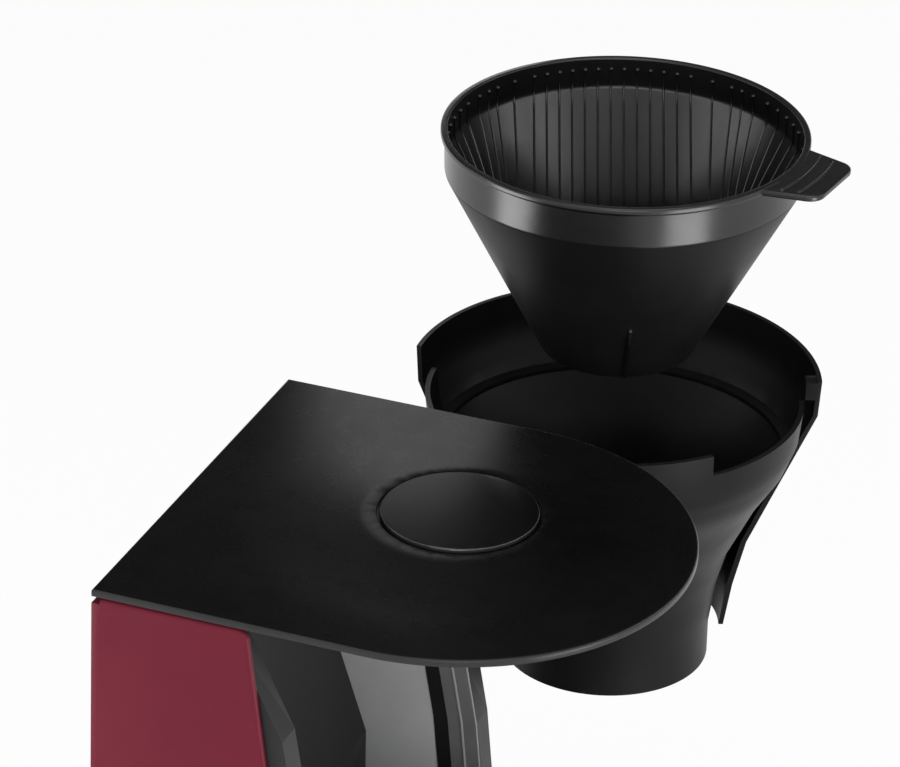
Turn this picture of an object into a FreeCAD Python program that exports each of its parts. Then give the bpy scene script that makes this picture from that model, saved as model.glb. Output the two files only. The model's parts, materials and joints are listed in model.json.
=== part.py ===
import FreeCAD, Part
import math
import os

from FreeCAD import Placement, Rotation, Vector

# Drip coffee maker with a filter carrier that swings out sideways on an upright hinge pin.
# X runs from the tower to the round end, Y across the machine, Z up from the worktop.
# The origin lies on the worktop below the middle of the base.

SIZES = [
    ("machine_height", 330.0, "worktop to the flat top of the lid"),
    ("brew_axis_x", 8.0, "centre of the round end and of the closed carrier"),
    ("lid_width", 190.0, "lid across"),
    ("lid_reach", 112.0, "flat end of the lid to the centre of its round end"),
    ("lid_thickness", 3.2, "lid plate"),
    ("lid_edge_round", 1.2, "rounding along the top edge of the lid"),
    ("dome_height", 4.0, "rise of the lid around its disc"),
    ("dome_radius", 80.0, "foot of the dome"),
    ("disc_x", 4.7, "centre of the lid disc"),
    ("disc_y", 13.0, "centre of the lid disc, towards the hinge side"),
    ("disc_radius", 32.0, "lid disc"),
    ("disc_thickness", 2.3, "lid disc"),
    ("disc_gap", 1.0, "dark ring around the lid disc"),
    ("disc_sink", 0.2, "disc below the top of its dome"),
    ("lid_axis_inset", 2.3, "lid hinge axis in from the flat end"),
    ("lid_axis_drop", 2.6, "lid hinge axis below the underside of the lid"),
    ("lid_knuckle_radius", 2.3, "lid hinge knuckles"),
    ("lid_knuckle_length", 35.2, "each knuckle of the lid"),
    ("lid_knuckle_middle", 54.0, "middle of each lid knuckle from the centre line"),
    ("ear_length", 6.0, "each hinge ear of the tower"),
    ("side_play", 0.4, "room beside each hinge knuckle"),
    ("lid_pin_radius", 1.4, "wire pin of the lid hinge"),
    ("pin_play", 0.05, "running fit around each hinge pin"),
    ("cover_wall", 2.5, "coloured cover panel"),
    ("cover_gap", 0.6, "cover to the lid above it"),
    ("cover_top_reach", 64.5, "cover from the flat end, at its top"),
    ("cover_low_reach", 101.2, "cover from the flat end, at its foot"),
    ("cover_corner", 5.0, "rounded top corner of the cover"),
    ("end_draft", 5.0, "flat end leans out by this much at its foot"),
    ("fit_gap", 0.3, "still fit between neighbouring shells"),
    ("tower_drop", 7.7, "tower top below the lid top"),
    ("tower_wall", 2.5, "tower wall"),
    ("tower_floor", 6.0, "floor that carries the water tank"),
    ("bay_half_width", 80.0, "open bay between the two wings"),
    ("carrier_clearance", 6.0, "closed carrier to the bay wall behind it"),
    ("jug_clearance", 2.5, "jug to the bay wall behind it"),
    ("bay_lean_height", 52.0, "leaning part of the bay wall, below the lower hinge seat"),
    ("tank_wall", 1.5, "water tank wall"),
    ("tank_drop", 10.3, "tank rim below the tower top"),
    ("riser_room", 22.2, "tower side to the tank, room for the riser"),
    ("base_height", 50.0, "worktop to the top of the base"),
    ("base_wall", 2.5, "base wall and top"),
    ("base_side_lip", 3.0, "base beyond the lid at each side"),
    ("base_round_shift", 4.0, "round end of the base beyond the brew axis"),
    ("base_end_lip", 8.0, "base beyond the flat end of the lid"),
    ("base_edge_round", 2.4, "rounding along the top edge of the base"),
    ("foot_height", 4.0, "rubber feet"),
    ("foot_radius", 9.0, "rubber feet"),
    ("foot_inset", 26.0, "rubber feet in from the edges of the base"),
    ("pillar_radius", 5.0, "screw pillars of the base"),
    ("pillar_inset", 18.0, "screw pillars in from the sides of the base"),
    ("plate_thickness", 3.0, "bottom plate of the base"),
    ("screw_head_radius", 3.5, "base screws"),
    ("screw_radius", 1.5, "base screw shanks"),
    ("screw_length", 13.0, "base screw shanks"),
    ("hot_plate_radius", 62.0, "warming plate"),
    ("hot_plate_thickness", 2.0, "warming plate"),
    ("plate_hole_radius", 58.0, "opening of the base under the warming plate"),
    ("seal_thickness", 1.0, "ring under the warming plate"),
    ("heater_radius", 40.0, "middle of the heater loop"),
    ("heater_tube_radius", 5.0, "heating element and water tube"),
    ("tube_wall", 1.5, "water tubes"),
    ("hose_bore_radius", 4.0, "feed hose bore"),
    ("hose_wall", 2.0, "feed hose"),
    ("hose_bend", 8.0, "bends of hose and riser"),
    ("riser_inset", 16.0, "riser in from the flat end"),
    ("riser_side", 13.2, "riser in from the tower side"),
    ("valve_inset", 24.0, "tank valve in from the flat end"),
    ("arm_width", 20.0, "spout arm"),
    ("arm_thickness", 3.7, "spout arm"),
    ("shower_hole_radius", 1.5, "outlet holes of the spout arm"),
    ("hinge_inset", 37.2, "carrier hinge in from the flat end"),
    ("hinge_side", 6.95, "carrier hinge in from the far edge of the lid"),
    ("swing_open", 96.0, "carrier swung out, in degrees"),
    ("carrier_turn", 92.0, "carrier about its own axis when swung out, in degrees"),
    ("hinge_pin_radius", 3.0, "carrier hinge pin"),
    ("knuckle_radius", 7.0, "carrier hinge knuckle"),
    ("knuckle_height", 82.0, "room for the knuckle between wing and lug"),
    ("pin_seat", 12.0, "hinge pin into the wing"),
    ("lug_drop", 2.3, "hinge lug below the tower top"),
    ("knuckle_play", 0.5, "room above and below the knuckle"),
    ("lug_thickness", 8.0, "hinge lug of the tower"),
    ("arm_plate", 8.0, "hinge arm of the carrier"),
    ("funnel_wall", 2.2, "carrier funnel"),
    ("rim_step", 9.0, "low part of the rim, for the finger grip, below the rim of the shell"),
    ("rim_notch_span", 60.0, "that low part beside the shell, in degrees"),
    ("funnel_tab_rise", 9.0, "raised part of that rim"),
    ("funnel_tab_span", 60.0, "raised part of that rim, in degrees"),
    ("funnel_rim_radius", 80.0, "funnel at its rim"),
    ("shoulder_drop", 34.5, "rim of the outer shell to the shoulder it sits on"),
    ("skirt_radius", 44.5, "round skirt under the funnel"),
    ("carrier_height", 130.5, "rim of the outer shell to the foot of the skirt"),
    ("basket_sink", 5.5, "rim of the seated basket below the rim of the shell"),
    ("floor_thickness", 2.5, "floor of the funnel"),
    ("boss_height", 3.5, "guide of the drip stop under that floor"),
    ("carrier_gap", 10.3, "lid top to the rim of the carrier"),
    ("shell_reach", 7.0, "outer shell beyond the rim of the funnel"),
    ("shell_wall", 2.0, "outer shell"),
    ("shell_height", 119.5, "outer shell"),
    ("shell_span", 166.0, "outer shell around the carrier, in degrees"),
    ("shell_turn", 11.0, "middle of the outer shell around the closed carrier, in degrees"),
    ("valve_stem_radius", 4.0, "drip stop stem"),
    ("valve_head_radius", 9.0, "drip stop head"),
    ("valve_drop", 2.0, "drip stop below the skirt"),
    ("basket_rim_gap", 1.8, "rim of the filter basket inside the rim of the funnel"),
    ("basket_lip", 2.5, "rim of the filter basket beyond its collar"),
    ("basket_collar", 18.0, "rim to the foot of the collar"),
    ("basket_height", 98.0, "filter basket"),
    ("basket_foot_radius", 32.1, "foot of the filter basket"),
    ("basket_wall", 2.0, "filter basket"),
    ("basket_drain_radius", 11.0, "drain of the filter basket"),
    ("basket_seat_gap", 0.3, "basket above the floor when seated"),
    ("lift_clearance", 1.0, "lifted basket above the top of the lid"),
    ("grip_length", 19.0, "finger grip beyond the rim of the basket"),
    ("grip_width", 35.0, "finger grip of the basket at its tip"),
    ("grip_root_width", 46.0, "finger grip of the basket at the rim"),
    ("grip_thickness", 3.0, "finger grip of the basket"),
    ("grip_angle", -99.0, "finger grip around the closed carrier, in degrees"),
    ("jug_radius", 66.0, "widest part of the jug"),
    ("jug_neck_radius", 51.0, "neck of the jug"),
    ("jug_height", 123.7, "jug glass"),
    ("jug_wall", 2.2, "jug glass"),
    ("jug_floor_radius", 50.0, "round floor of the jug inside its wall"),
    ("jug_stand_gap", 0.3, "jug above the warming plate"),
    ("band_thickness", 2.3, "band around the neck of the jug"),
    ("band_height", 8.0, "band around the neck of the jug"),
    ("handle_width", 18.0, "jug handle across"),
    ("handle_reach", 35.0, "jug handle beyond the widest part of the jug"),
    ("thumb_length", 18.0, "thumb tab of the jug lid"),
    ("thumb_width", 8.0, "thumb tab of the jug lid"),
    ("switch_x", -30.0, "middle of the switch along the near side"),
    ("switch_height", 28.0, "middle of the switch above the worktop"),
    ("switch_length", 26.0, "switch frame"),
    ("switch_depth", 12.0, "switch frame into the base"),
    ("rocker_length", 18.6, "switch rocker"),
    ("rocker_tilt", 6.0, "rocker either way from level, in degrees"),
    ("gland_radius", 8.0, "cord inlet bush"),
    ("gland_bore_radius", 3.5, "cord inlet bush"),
    ("gland_y", 60.0, "cord inlet across the flat end"),
    ("gland_height", 24.0, "cord inlet above the worktop"),
]

doc = FreeCAD.newDocument("drip_coffee_maker")
sheet = doc.addObject("Spreadsheet::Sheet", "Sizes")
for row, (alias, value, note) in enumerate(SIZES, start=1):
    sheet.set(f"A{row}", note)
    sheet.set(f"B{row}", str(value))
    sheet.setAlias(f"B{row}", alias)
doc.recompute()


class Size:
    """Driving dimensions as read back from the sheet."""


for alias, value, note in SIZES:
    setattr(Size, alias, float(sheet.get(alias)))

S = Size
NODES = []

# Heights and places that follow from the driving dimensions
LID_UNDER = S.machine_height - S.lid_thickness
BACK = S.brew_axis_x - S.lid_reach
HALF_WIDTH = S.lid_width / 2
LID_AXIS_X = BACK + S.lid_axis_inset
LID_AXIS_Z = LID_UNDER - S.lid_axis_drop
TOWER_TOP = S.machine_height - S.tower_drop
COVER_TOP = LID_UNDER - S.cover_gap
TANK_FOOT = S.base_height + S.tower_floor
TOWER_HALF = HALF_WIDTH - S.cover_wall - S.fit_gap
PLATE_FOOT = S.base_height + S.seal_thickness
PLATE_TOP = PLATE_FOOT + S.hot_plate_thickness
ELEMENT_Z = PLATE_FOOT - S.heater_tube_radius
WATER_Z = ELEMENT_Z - 2 * S.heater_tube_radius
OVER = 20.0
BASE_BACK = BACK - S.base_end_lip
BASE_HALF = HALF_WIDTH + S.base_side_lip
BASE_ROUND = S.brew_axis_x + S.base_round_shift
BAY_TOP_X = S.brew_axis_x - S.funnel_rim_radius - S.carrier_clearance
BAY_LOW_X = S.brew_axis_x - S.jug_radius - S.jug_clearance
KNUCKLE_TOP = TOWER_TOP - S.lug_drop - S.lug_thickness
KNUCKLE_FOOT = KNUCKLE_TOP - S.knuckle_height
BAY_BEND_HIGH = KNUCKLE_FOOT
BAY_BEND_LOW = BAY_BEND_HIGH - S.bay_lean_height
TANK_TOP = TOWER_TOP - S.tank_drop
TANK_SIDE = TOWER_HALF - S.riser_room
RISER = Vector(BACK + S.riser_inset, S.riser_side - TOWER_HALF, 0)
VALVE = Vector(BACK + S.valve_inset, S.heater_radius, 0)
SHELL_RADIUS = S.funnel_rim_radius + S.shell_reach
SHELL_RIM = S.machine_height - S.carrier_gap
LOW_RIM = SHELL_RIM - S.rim_step
SHOULDER = SHELL_RIM - S.shoulder_drop
SKIRT_FOOT = SHELL_RIM - S.carrier_height
SHELL_FOOT = SHELL_RIM - S.shell_height
BASKET_RADIUS = S.funnel_rim_radius - S.funnel_wall - S.basket_rim_gap
BASKET_SEAT = SHELL_RIM - S.basket_sink - S.basket_height
FUNNEL_FLOOR = BASKET_SEAT - S.basket_seat_gap
VALVE_FOOT = SKIRT_FOOT - S.valve_drop
LIFTED_RIM = S.machine_height + S.dome_height + S.lift_clearance + S.basket_height
JUG_FOOT = PLATE_TOP + S.jug_stand_gap
JUG_TOP = JUG_FOOT + S.jug_height
HINGE = Vector(BACK + S.hinge_inset, HALF_WIDTH - S.hinge_side, 0)
CLOSED = Vector(S.brew_axis_x, 0, 0)
HINGE_REACH = (HINGE - CLOSED).Length
SWING = Rotation(Vector(0, 0, 1), S.swing_open)
OPEN = HINGE + SWING.multVec(CLOSED - HINGE)
HINGE_ANGLE = math.degrees(math.atan2(HINGE.y - OPEN.y, HINGE.x - OPEN.x)) - S.carrier_turn


def new_body(label, place=None):
    """Start a sub-part of its own; place moves it from its own axis to the machine."""
    body = doc.addObject("PartDesign::Body", label)
    body.Label = label
    if place is not None:
        body.Placement = place
    NODES.append(body)
    return body


def outline(corners):
    """Closed outline through (x, y) or (x, y, rounding) corners."""
    count = len(corners)
    starts = []
    ends = []
    arcs = []
    for index in range(count):
        here = Vector(corners[index][0], corners[index][1], 0)
        radius = corners[index][2] if len(corners[index]) > 2 else 0.0
        before = Vector(corners[index - 1][0], corners[index - 1][1], 0)
        after = Vector(corners[(index + 1) % count][0], corners[(index + 1) % count][1], 0)
        if radius == 0.0:
            starts.append(here)
            ends.append(here)
            arcs.append(None)
            continue
        inward = (before - here).normalize()
        onward = (after - here).normalize()
        half = inward.getAngle(onward) / 2
        first = here + inward * (radius / math.tan(half))
        last = here + onward * (radius / math.tan(half))
        bisector = (inward + onward).normalize()
        middle = here + bisector * (radius / math.sin(half) - radius)
        starts.append(first)
        ends.append(last)
        arcs.append(Part.Arc(first, middle, last))
    edges = []
    for index in range(count):
        if arcs[index] is not None:
            edges.append(arcs[index])
        if (starts[(index + 1) % count] - ends[index]).Length > 1e-6:
            edges.append(Part.LineSegment(ends[index], starts[(index + 1) % count]))
    return edges


def circle(x, y, radius):
    """A full circle of a sketch."""
    return Part.Circle(Vector(x, y, 0), Vector(0, 0, 1), radius)


def rounded_end(back, half, centre, offset_x=0.0, offset_y=0.0):
    """Outline with a flat end at back and a half-round end about centre."""
    low = -half - offset_y
    high = half - offset_y
    flat = back - offset_x
    middle = centre - offset_x
    tip = Vector(middle + half, -offset_y, 0)
    return [
        Part.LineSegment(Vector(flat, low, 0), Vector(middle, low, 0)),
        Part.Arc(Vector(middle, low, 0), tip, Vector(middle, high, 0)),
        Part.LineSegment(Vector(middle, high, 0), Vector(flat, high, 0)),
        Part.LineSegment(Vector(flat, high, 0), Vector(flat, low, 0)),
    ]


def new_sketch(body, role, edges, offset=0.0, turn=0.0):
    """Sketch on one of the body's own planes, moved along its normal or turned about Z."""
    sketch = body.newObject("Sketcher::SketchObject", body.Label + "_sketch")
    plane = [feature for feature in body.Origin.OriginFeatures if feature.Role == role][0]
    sketch.AttachmentSupport = [(plane, "")]
    sketch.MapMode = "FlatFace"
    sketch.AttachmentOffset = Placement(Vector(0, 0, offset), Rotation(Vector(0, 1, 0), turn))
    sketch.addGeometry(edges, False)
    return sketch


def extrude(body, kind, sketch, length, symmetric=False, reverse=False):
    """Pad or Pocket whose length is an expression of the sheet's cells."""
    feature = body.newObject("PartDesign::" + kind, body.Label + "_" + kind.lower())
    feature.Profile = sketch
    feature.setExpression("Length", length)
    feature.SideType = "Symmetric" if symmetric else "One side"
    feature.Reversed = reverse
    return feature


def revolve(body, corners, angle="360", turn=0.0):
    """Turn an outline of (radius, height) corners about the body's own Z axis."""
    sketch = new_sketch(body, "XZ_Plane", outline(corners), turn=turn)
    feature = body.newObject("PartDesign::Revolution", body.Label + "_turned")
    feature.Profile = sketch
    feature.ReferenceAxis = (sketch, ["V_Axis"])
    feature.setExpression("Angle", angle)
    feature.Midplane = True
    return feature


def turned(label, corners, place=None):
    """A whole sub-part turned from one outline."""
    body = new_body(label, place)
    revolve(body, corners)
    return body


def above(edge, height):
    """True for an edge that lies wholly at a height."""
    return min(vertex.Z for vertex in edge.Vertexes) > height - 1e-3


def round_edges(body, feature, radius, wanted):
    """Fillet the edges of a feature for which wanted(edge) is true."""
    doc.recompute()
    names = [f"Edge{i + 1}" for i, edge in enumerate(feature.Shape.Edges) if wanted(edge)]
    fillet = body.newObject("PartDesign::Fillet", body.Label + "_rounding")
    fillet.Base = (feature, names)
    fillet.setExpression("Radius", radius)
    return fillet


def rounded_path(points, radius):
    """Wire of straight runs joined by tangent arcs of one radius."""
    edges = []
    last = points[0]
    for index in range(1, len(points) - 1):
        here = points[index]
        inward = (points[index - 1] - here).normalize()
        onward = (points[index + 1] - here).normalize()
        half = inward.getAngle(onward) / 2
        first = here + inward * (radius / math.tan(half))
        final = here + onward * (radius / math.tan(half))
        middle = here + (inward + onward).normalize() * (radius / math.sin(half) - radius)
        edges.append(Part.LineSegment(last, first).toShape())
        edges.append(Part.Arc(first, middle, final).toShape())
        last = final
    edges.append(Part.LineSegment(last, points[-1]).toShape())
    return Part.Wire(edges)


def swept(path, radius):
    """Round rod along a path."""
    start = path.Edges[0].valueAt(path.Edges[0].FirstParameter)
    along = path.Edges[0].tangentAt(path.Edges[0].FirstParameter)
    ring = Part.Wire([Part.makeCircle(radius, start, along)])
    return path.makePipeShell([ring], True, False)


def new_feature(label, shape):
    """A sub-part whose shape is swept here from the sheet's sizes."""
    feature = doc.addObject("Part::Feature", label)
    feature.Label = label
    feature.Shape = shape
    NODES.append(feature)
    return feature


def new_cylinder(label, radius, height, base, along=Vector(0, 0, 1)):
    """Plain pin or foot; radius and height are expressions of the sheet's cells."""
    rod = doc.addObject("Part::Cylinder", label)
    rod.Label = label
    rod.setExpression("Radius", radius)
    rod.setExpression("Height", height)
    rod.Placement = Placement(base, Rotation(Vector(0, 0, 1), along))
    NODES.append(rod)
    return rod


def at(point):
    """Placement at a point, with no turn."""
    return Placement(point, Rotation())


def carried(height=0.0):
    """Placement of a carrier piece: drawn about the carrier's own axis, swung open."""
    return Placement(OPEN + Vector(0, 0, height), Rotation(Vector(0, 0, 1), S.carrier_turn))


# Base: D-shaped housing, bottom plate, feet and screws
SCREW_ROUND = BASE_ROUND + 0.59 * BASE_HALF
SCREW_PLACES = [
    (BAY_LOW_X + 2 * S.pillar_radius, S.pillar_inset - BASE_HALF),
    (BAY_LOW_X + 2 * S.pillar_radius, BASE_HALF - S.pillar_inset),
    (SCREW_ROUND, -0.56 * BASE_HALF), (SCREW_ROUND, 0.56 * BASE_HALF),
]
FOOT_ROUND = BASE_ROUND + 0.76 * BASE_HALF
FOOT_PLACES = [
    (BASE_BACK + S.foot_inset, S.foot_inset - BASE_HALF), (BASE_BACK + S.foot_inset, BASE_HALF - S.foot_inset),
    (FOOT_ROUND, -0.33 * BASE_HALF), (FOOT_ROUND, 0.33 * BASE_HALF), (0.0, 0.0),
]
PLATE_LEVEL = S.foot_height + S.plate_thickness


def make_base():
    """Hollow base with its openings, pillars for the screws and the bottom plate."""
    base = new_body("base_housing")
    whole = rounded_end(BASE_BACK, BASE_HALF, BASE_ROUND)
    sketch = new_sketch(base, "XY_Plane", whole, offset=S.foot_height)
    block = extrude(base, "Pad", sketch, "Sizes.base_height - Sizes.foot_height")
    round_edges(base, block, "Sizes.base_edge_round", lambda edge: above(edge, S.base_height))
    inside = rounded_end(BASE_BACK + S.base_wall, BASE_HALF - S.base_wall, BASE_ROUND)
    sketch = new_sketch(base, "XY_Plane", inside, offset=S.foot_height)
    depth = "Sizes.base_height - Sizes.foot_height - Sizes.base_wall"
    extrude(base, "Pocket", sketch, depth, reverse=True)
    pillars = [circle(x, y, S.pillar_radius) for x, y in SCREW_PLACES]
    sketch = new_sketch(base, "XY_Plane", pillars, offset=PLATE_LEVEL)
    rise = "Sizes.base_height - Sizes.foot_height - Sizes.plate_thickness - Sizes.base_wall / 2"
    extrude(base, "Pad", sketch, rise)
    holes = [circle(x, y, S.screw_radius) for x, y in SCREW_PLACES]
    sketch = new_sketch(base, "XY_Plane", holes, offset=PLATE_LEVEL)
    extrude(base, "Pocket", sketch, "Sizes.screw_length", reverse=True)
    back = BACK + S.cover_wall + 2 * S.tower_wall
    front = BAY_LOW_X - S.tower_wall
    side = TOWER_HALF - 2.5 * S.tower_wall
    shaft = outline([(back, -side), (front, -side), (front, side), (back, side)])
    plate_hole = circle(S.brew_axis_x, 0, S.plate_hole_radius)
    sketch = new_sketch(base, "XY_Plane", shaft + [plate_hole], offset=S.base_height)
    extrude(base, "Pocket", sketch, "2 * Sizes.base_wall")
    half = S.switch_length / 2 - 2.0
    window = outline([
        (S.switch_x - half, S.switch_height - 6.0), (S.switch_x + half, S.switch_height - 6.0),
        (S.switch_x + half, S.switch_height + 6.0), (S.switch_x - half, S.switch_height + 6.0),
    ])
    sketch = new_sketch(base, "XZ_Plane", window, offset=BASE_HALF)
    extrude(base, "Pocket", sketch, "2 * Sizes.base_wall")
    inlet = [circle(S.gland_y, S.gland_height, S.gland_radius - 2.0)]
    sketch = new_sketch(base, "YZ_Plane", inlet, offset=BASE_BACK)
    extrude(base, "Pocket", sketch, "2 * Sizes.base_wall", reverse=True)

    plate = new_body("base_plate")
    inset = S.base_wall + S.fit_gap
    edge = rounded_end(BASE_BACK + inset, BASE_HALF - inset, BASE_ROUND)
    holes = [circle(x, y, S.screw_radius + S.fit_gap) for x, y in SCREW_PLACES]
    sketch = new_sketch(plate, "XY_Plane", edge + holes, offset=S.foot_height)
    extrude(plate, "Pad", sketch, "Sizes.plate_thickness")

    for number, (x, y) in enumerate(FOOT_PLACES, start=1):
        new_cylinder(f"foot_{number}", "Sizes.foot_radius", "Sizes.foot_height", Vector(x, y, 0))
    head = 2.2
    for number, (x, y) in enumerate(SCREW_PLACES, start=1):
        top = PLATE_LEVEL + S.screw_length
        turned(f"base_screw_{number}", [
            (0, S.foot_height - head), (S.screw_head_radius, S.foot_height - head),
            (S.screw_head_radius, S.foot_height), (S.screw_radius, S.foot_height),
            (S.screw_radius, top), (0, top),
        ], at(Vector(x, y, 0)))


# Tower: bay wall, two wings, hinge lug, coloured cover and the water tank
WING_SHAPE = [(0.507, 0.0), (0.7, 0.16), (0.796, 0.387), (0.834, 0.471), (0.964, 1.0)]
WING_TIP = [
    (BACK + along * S.lid_reach, TOWER_TOP - down * (TOWER_TOP - S.base_height)) for along, down in WING_SHAPE
]
FAR_CUT_X = BAY_TOP_X + 0.2


def bay_wall(shift):
    """Bay wall from its top to its foot, moved back by shift."""
    return [
        (BAY_TOP_X - shift, BAY_BEND_HIGH), (BAY_LOW_X - shift, BAY_BEND_LOW),
    ]


def far_cut(body, span):
    """Clear the far side above the lower hinge seat for the carrier arm to pass."""
    cut = outline([
        (FAR_CUT_X, KNUCKLE_FOOT), (OVER * 3, KNUCKLE_FOOT),
        (OVER * 3, S.machine_height + OVER), (FAR_CUT_X, S.machine_height + OVER),
    ])
    sketch = new_sketch(body, "XZ_Plane", cut, offset=-HALF_WIDTH - OVER)
    extrude(body, "Pocket", sketch, span, reverse=True)


def make_tower():
    """Tower shell with its bay, wings, floor openings, hinge lug and lid ears."""
    tower = new_body("tower_housing")
    left = BACK + S.cover_wall + S.fit_gap
    lean = S.end_draft
    side = [(left, TOWER_TOP)] + WING_TIP + [(left - lean, S.base_height)]
    sketch = new_sketch(tower, "XZ_Plane", outline(side))
    width = "Sizes.lid_width - 2 * Sizes.cover_wall - 2 * Sizes.fit_gap"
    extrude(tower, "Pad", sketch, width, symmetric=True)
    high = S.machine_height + OVER
    bay = [(BAY_TOP_X, high)] + bay_wall(0) + [
        (BAY_LOW_X, S.base_height - OVER), (OVER * 2, S.base_height - OVER), (OVER * 2, high),
    ]
    sketch = new_sketch(tower, "XZ_Plane", outline(bay))
    extrude(tower, "Pocket", sketch, "2 * Sizes.bay_half_width", symmetric=True)
    cavity = [(left + S.tower_wall, high), (left + S.tower_wall - lean, TANK_FOOT)]
    cavity += [(BAY_LOW_X - S.tower_wall, TANK_FOOT)] + bay_wall(S.tower_wall)[::-1]
    cavity += [(BAY_TOP_X - S.tower_wall, high)]
    sketch = new_sketch(tower, "XZ_Plane", outline(cavity))
    inner = width + " - 2 * Sizes.tower_wall"
    extrude(tower, "Pocket", sketch, inner, symmetric=True)
    wing_inside = TOWER_HALF - S.tower_wall
    front = BAY_LOW_X + S.tower_wall
    rib = 2 * S.tower_wall
    foot = [(WING_TIP[4][0] - rib, S.base_height - OVER), (front, S.base_height - OVER), (front, BAY_BEND_LOW)]
    near_hollow = foot + [(BAY_TOP_X + rib, BAY_BEND_HIGH), (BAY_TOP_X + rib, WING_TIP[1][1])]
    near_hollow += [(along - rib, height) for along, height in WING_TIP[1:4]]
    far_hollow = foot + [(WING_TIP[3][0] - rib, BAY_BEND_LOW)]
    depth = "Sizes.lid_width / 2 - Sizes.bay_half_width"
    depth += " - Sizes.cover_wall - Sizes.fit_gap - 2 * Sizes.tower_wall"
    sketch = new_sketch(tower, "XZ_Plane", outline(near_hollow), offset=wing_inside)
    extrude(tower, "Pocket", sketch, depth)
    sketch = new_sketch(tower, "XZ_Plane", outline(far_hollow), offset=-S.bay_half_width - S.tower_wall)
    extrude(tower, "Pocket", sketch, depth)
    far_cut(tower, "Sizes.lid_width / 2 + 20 - Sizes.bay_half_width + 15")
    lug_low = HINGE.y - S.knuckle_radius
    lug_high = HINGE.y + S.knuckle_radius
    root = BAY_TOP_X - S.tower_wall / 2
    lug = [
        Part.LineSegment(Vector(root, lug_low, 0), Vector(HINGE.x, lug_low, 0)),
        Part.Arc(
            Vector(HINGE.x, lug_low, 0), HINGE + Vector(S.knuckle_radius, 0, 0), Vector(HINGE.x, lug_high, 0),
        ),
        Part.LineSegment(Vector(HINGE.x, lug_high, 0), Vector(FAR_CUT_X + 0.5, lug_high, 0)),
        Part.LineSegment(Vector(FAR_CUT_X + 0.5, lug_high, 0), Vector(FAR_CUT_X + 0.5, TOWER_HALF, 0)),
        Part.LineSegment(Vector(FAR_CUT_X + 0.5, TOWER_HALF, 0), Vector(root, TOWER_HALF, 0)),
        Part.LineSegment(Vector(root, TOWER_HALF, 0), Vector(root, lug_low, 0)),
    ]
    sketch = new_sketch(tower, "XY_Plane", lug, offset=KNUCKLE_TOP)
    extrude(tower, "Pad", sketch, "Sizes.lug_thickness")
    sketch = new_sketch(tower, "XY_Plane", [circle(HINGE.x, HINGE.y, S.hinge_pin_radius)], offset=high)
    reach = "20 + Sizes.tower_drop + Sizes.lug_drop + Sizes.lug_thickness"
    reach += " + Sizes.knuckle_height + Sizes.pin_seat"
    extrude(tower, "Pocket", sketch, reach)
    tube = S.hose_bore_radius + S.hose_wall
    openings = [circle(VALVE.x, VALVE.y, tube + 2 * S.fit_gap + 2.0), circle(RISER.x, RISER.y, tube)]
    sketch = new_sketch(tower, "XY_Plane", openings, offset=TANK_FOOT + 1)
    extrude(tower, "Pocket", sketch, "Sizes.tower_floor + 2")
    knuckle_end = S.lid_knuckle_middle + S.lid_knuckle_length / 2 + S.side_play
    knuckle_start = S.lid_knuckle_middle - S.lid_knuckle_length / 2 - S.side_play
    dip = LID_AXIS_Z - S.lid_knuckle_radius - S.cover_gap
    notch = outline([(BACK, dip), (BACK + OVER / 2, dip), (BACK + OVER / 2, high), (BACK, high)])
    sketch = new_sketch(tower, "XZ_Plane", notch)
    notch_width = "2 * Sizes.lid_knuckle_middle + Sizes.lid_knuckle_length + 2 * Sizes.side_play"
    extrude(tower, "Pocket", sketch, notch_width, symmetric=True)
    post_foot = TOWER_TOP - 4.0
    inner_face = left + S.tower_wall
    post = [(left, post_foot), (inner_face, post_foot), (inner_face, LID_AXIS_Z), (left, LID_AXIS_Z)]
    for start in (knuckle_end, knuckle_start - S.ear_length, -knuckle_end - S.ear_length, -knuckle_start):
        sketch = new_sketch(tower, "XZ_Plane", outline(post), offset=-start)
        extrude(tower, "Pad", sketch, "Sizes.ear_length", reverse=True)
        barrel = [circle(LID_AXIS_X, LID_AXIS_Z, S.lid_knuckle_radius)]
        sketch = new_sketch(tower, "XZ_Plane", barrel, offset=-start)
        extrude(tower, "Pad", sketch, "Sizes.ear_length", reverse=True)
    sketch = new_sketch(tower, "XZ_Plane", [circle(LID_AXIS_X, LID_AXIS_Z, S.lid_pin_radius)])
    extrude(tower, "Pocket", sketch, "Sizes.lid_width", symmetric=True)


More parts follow.
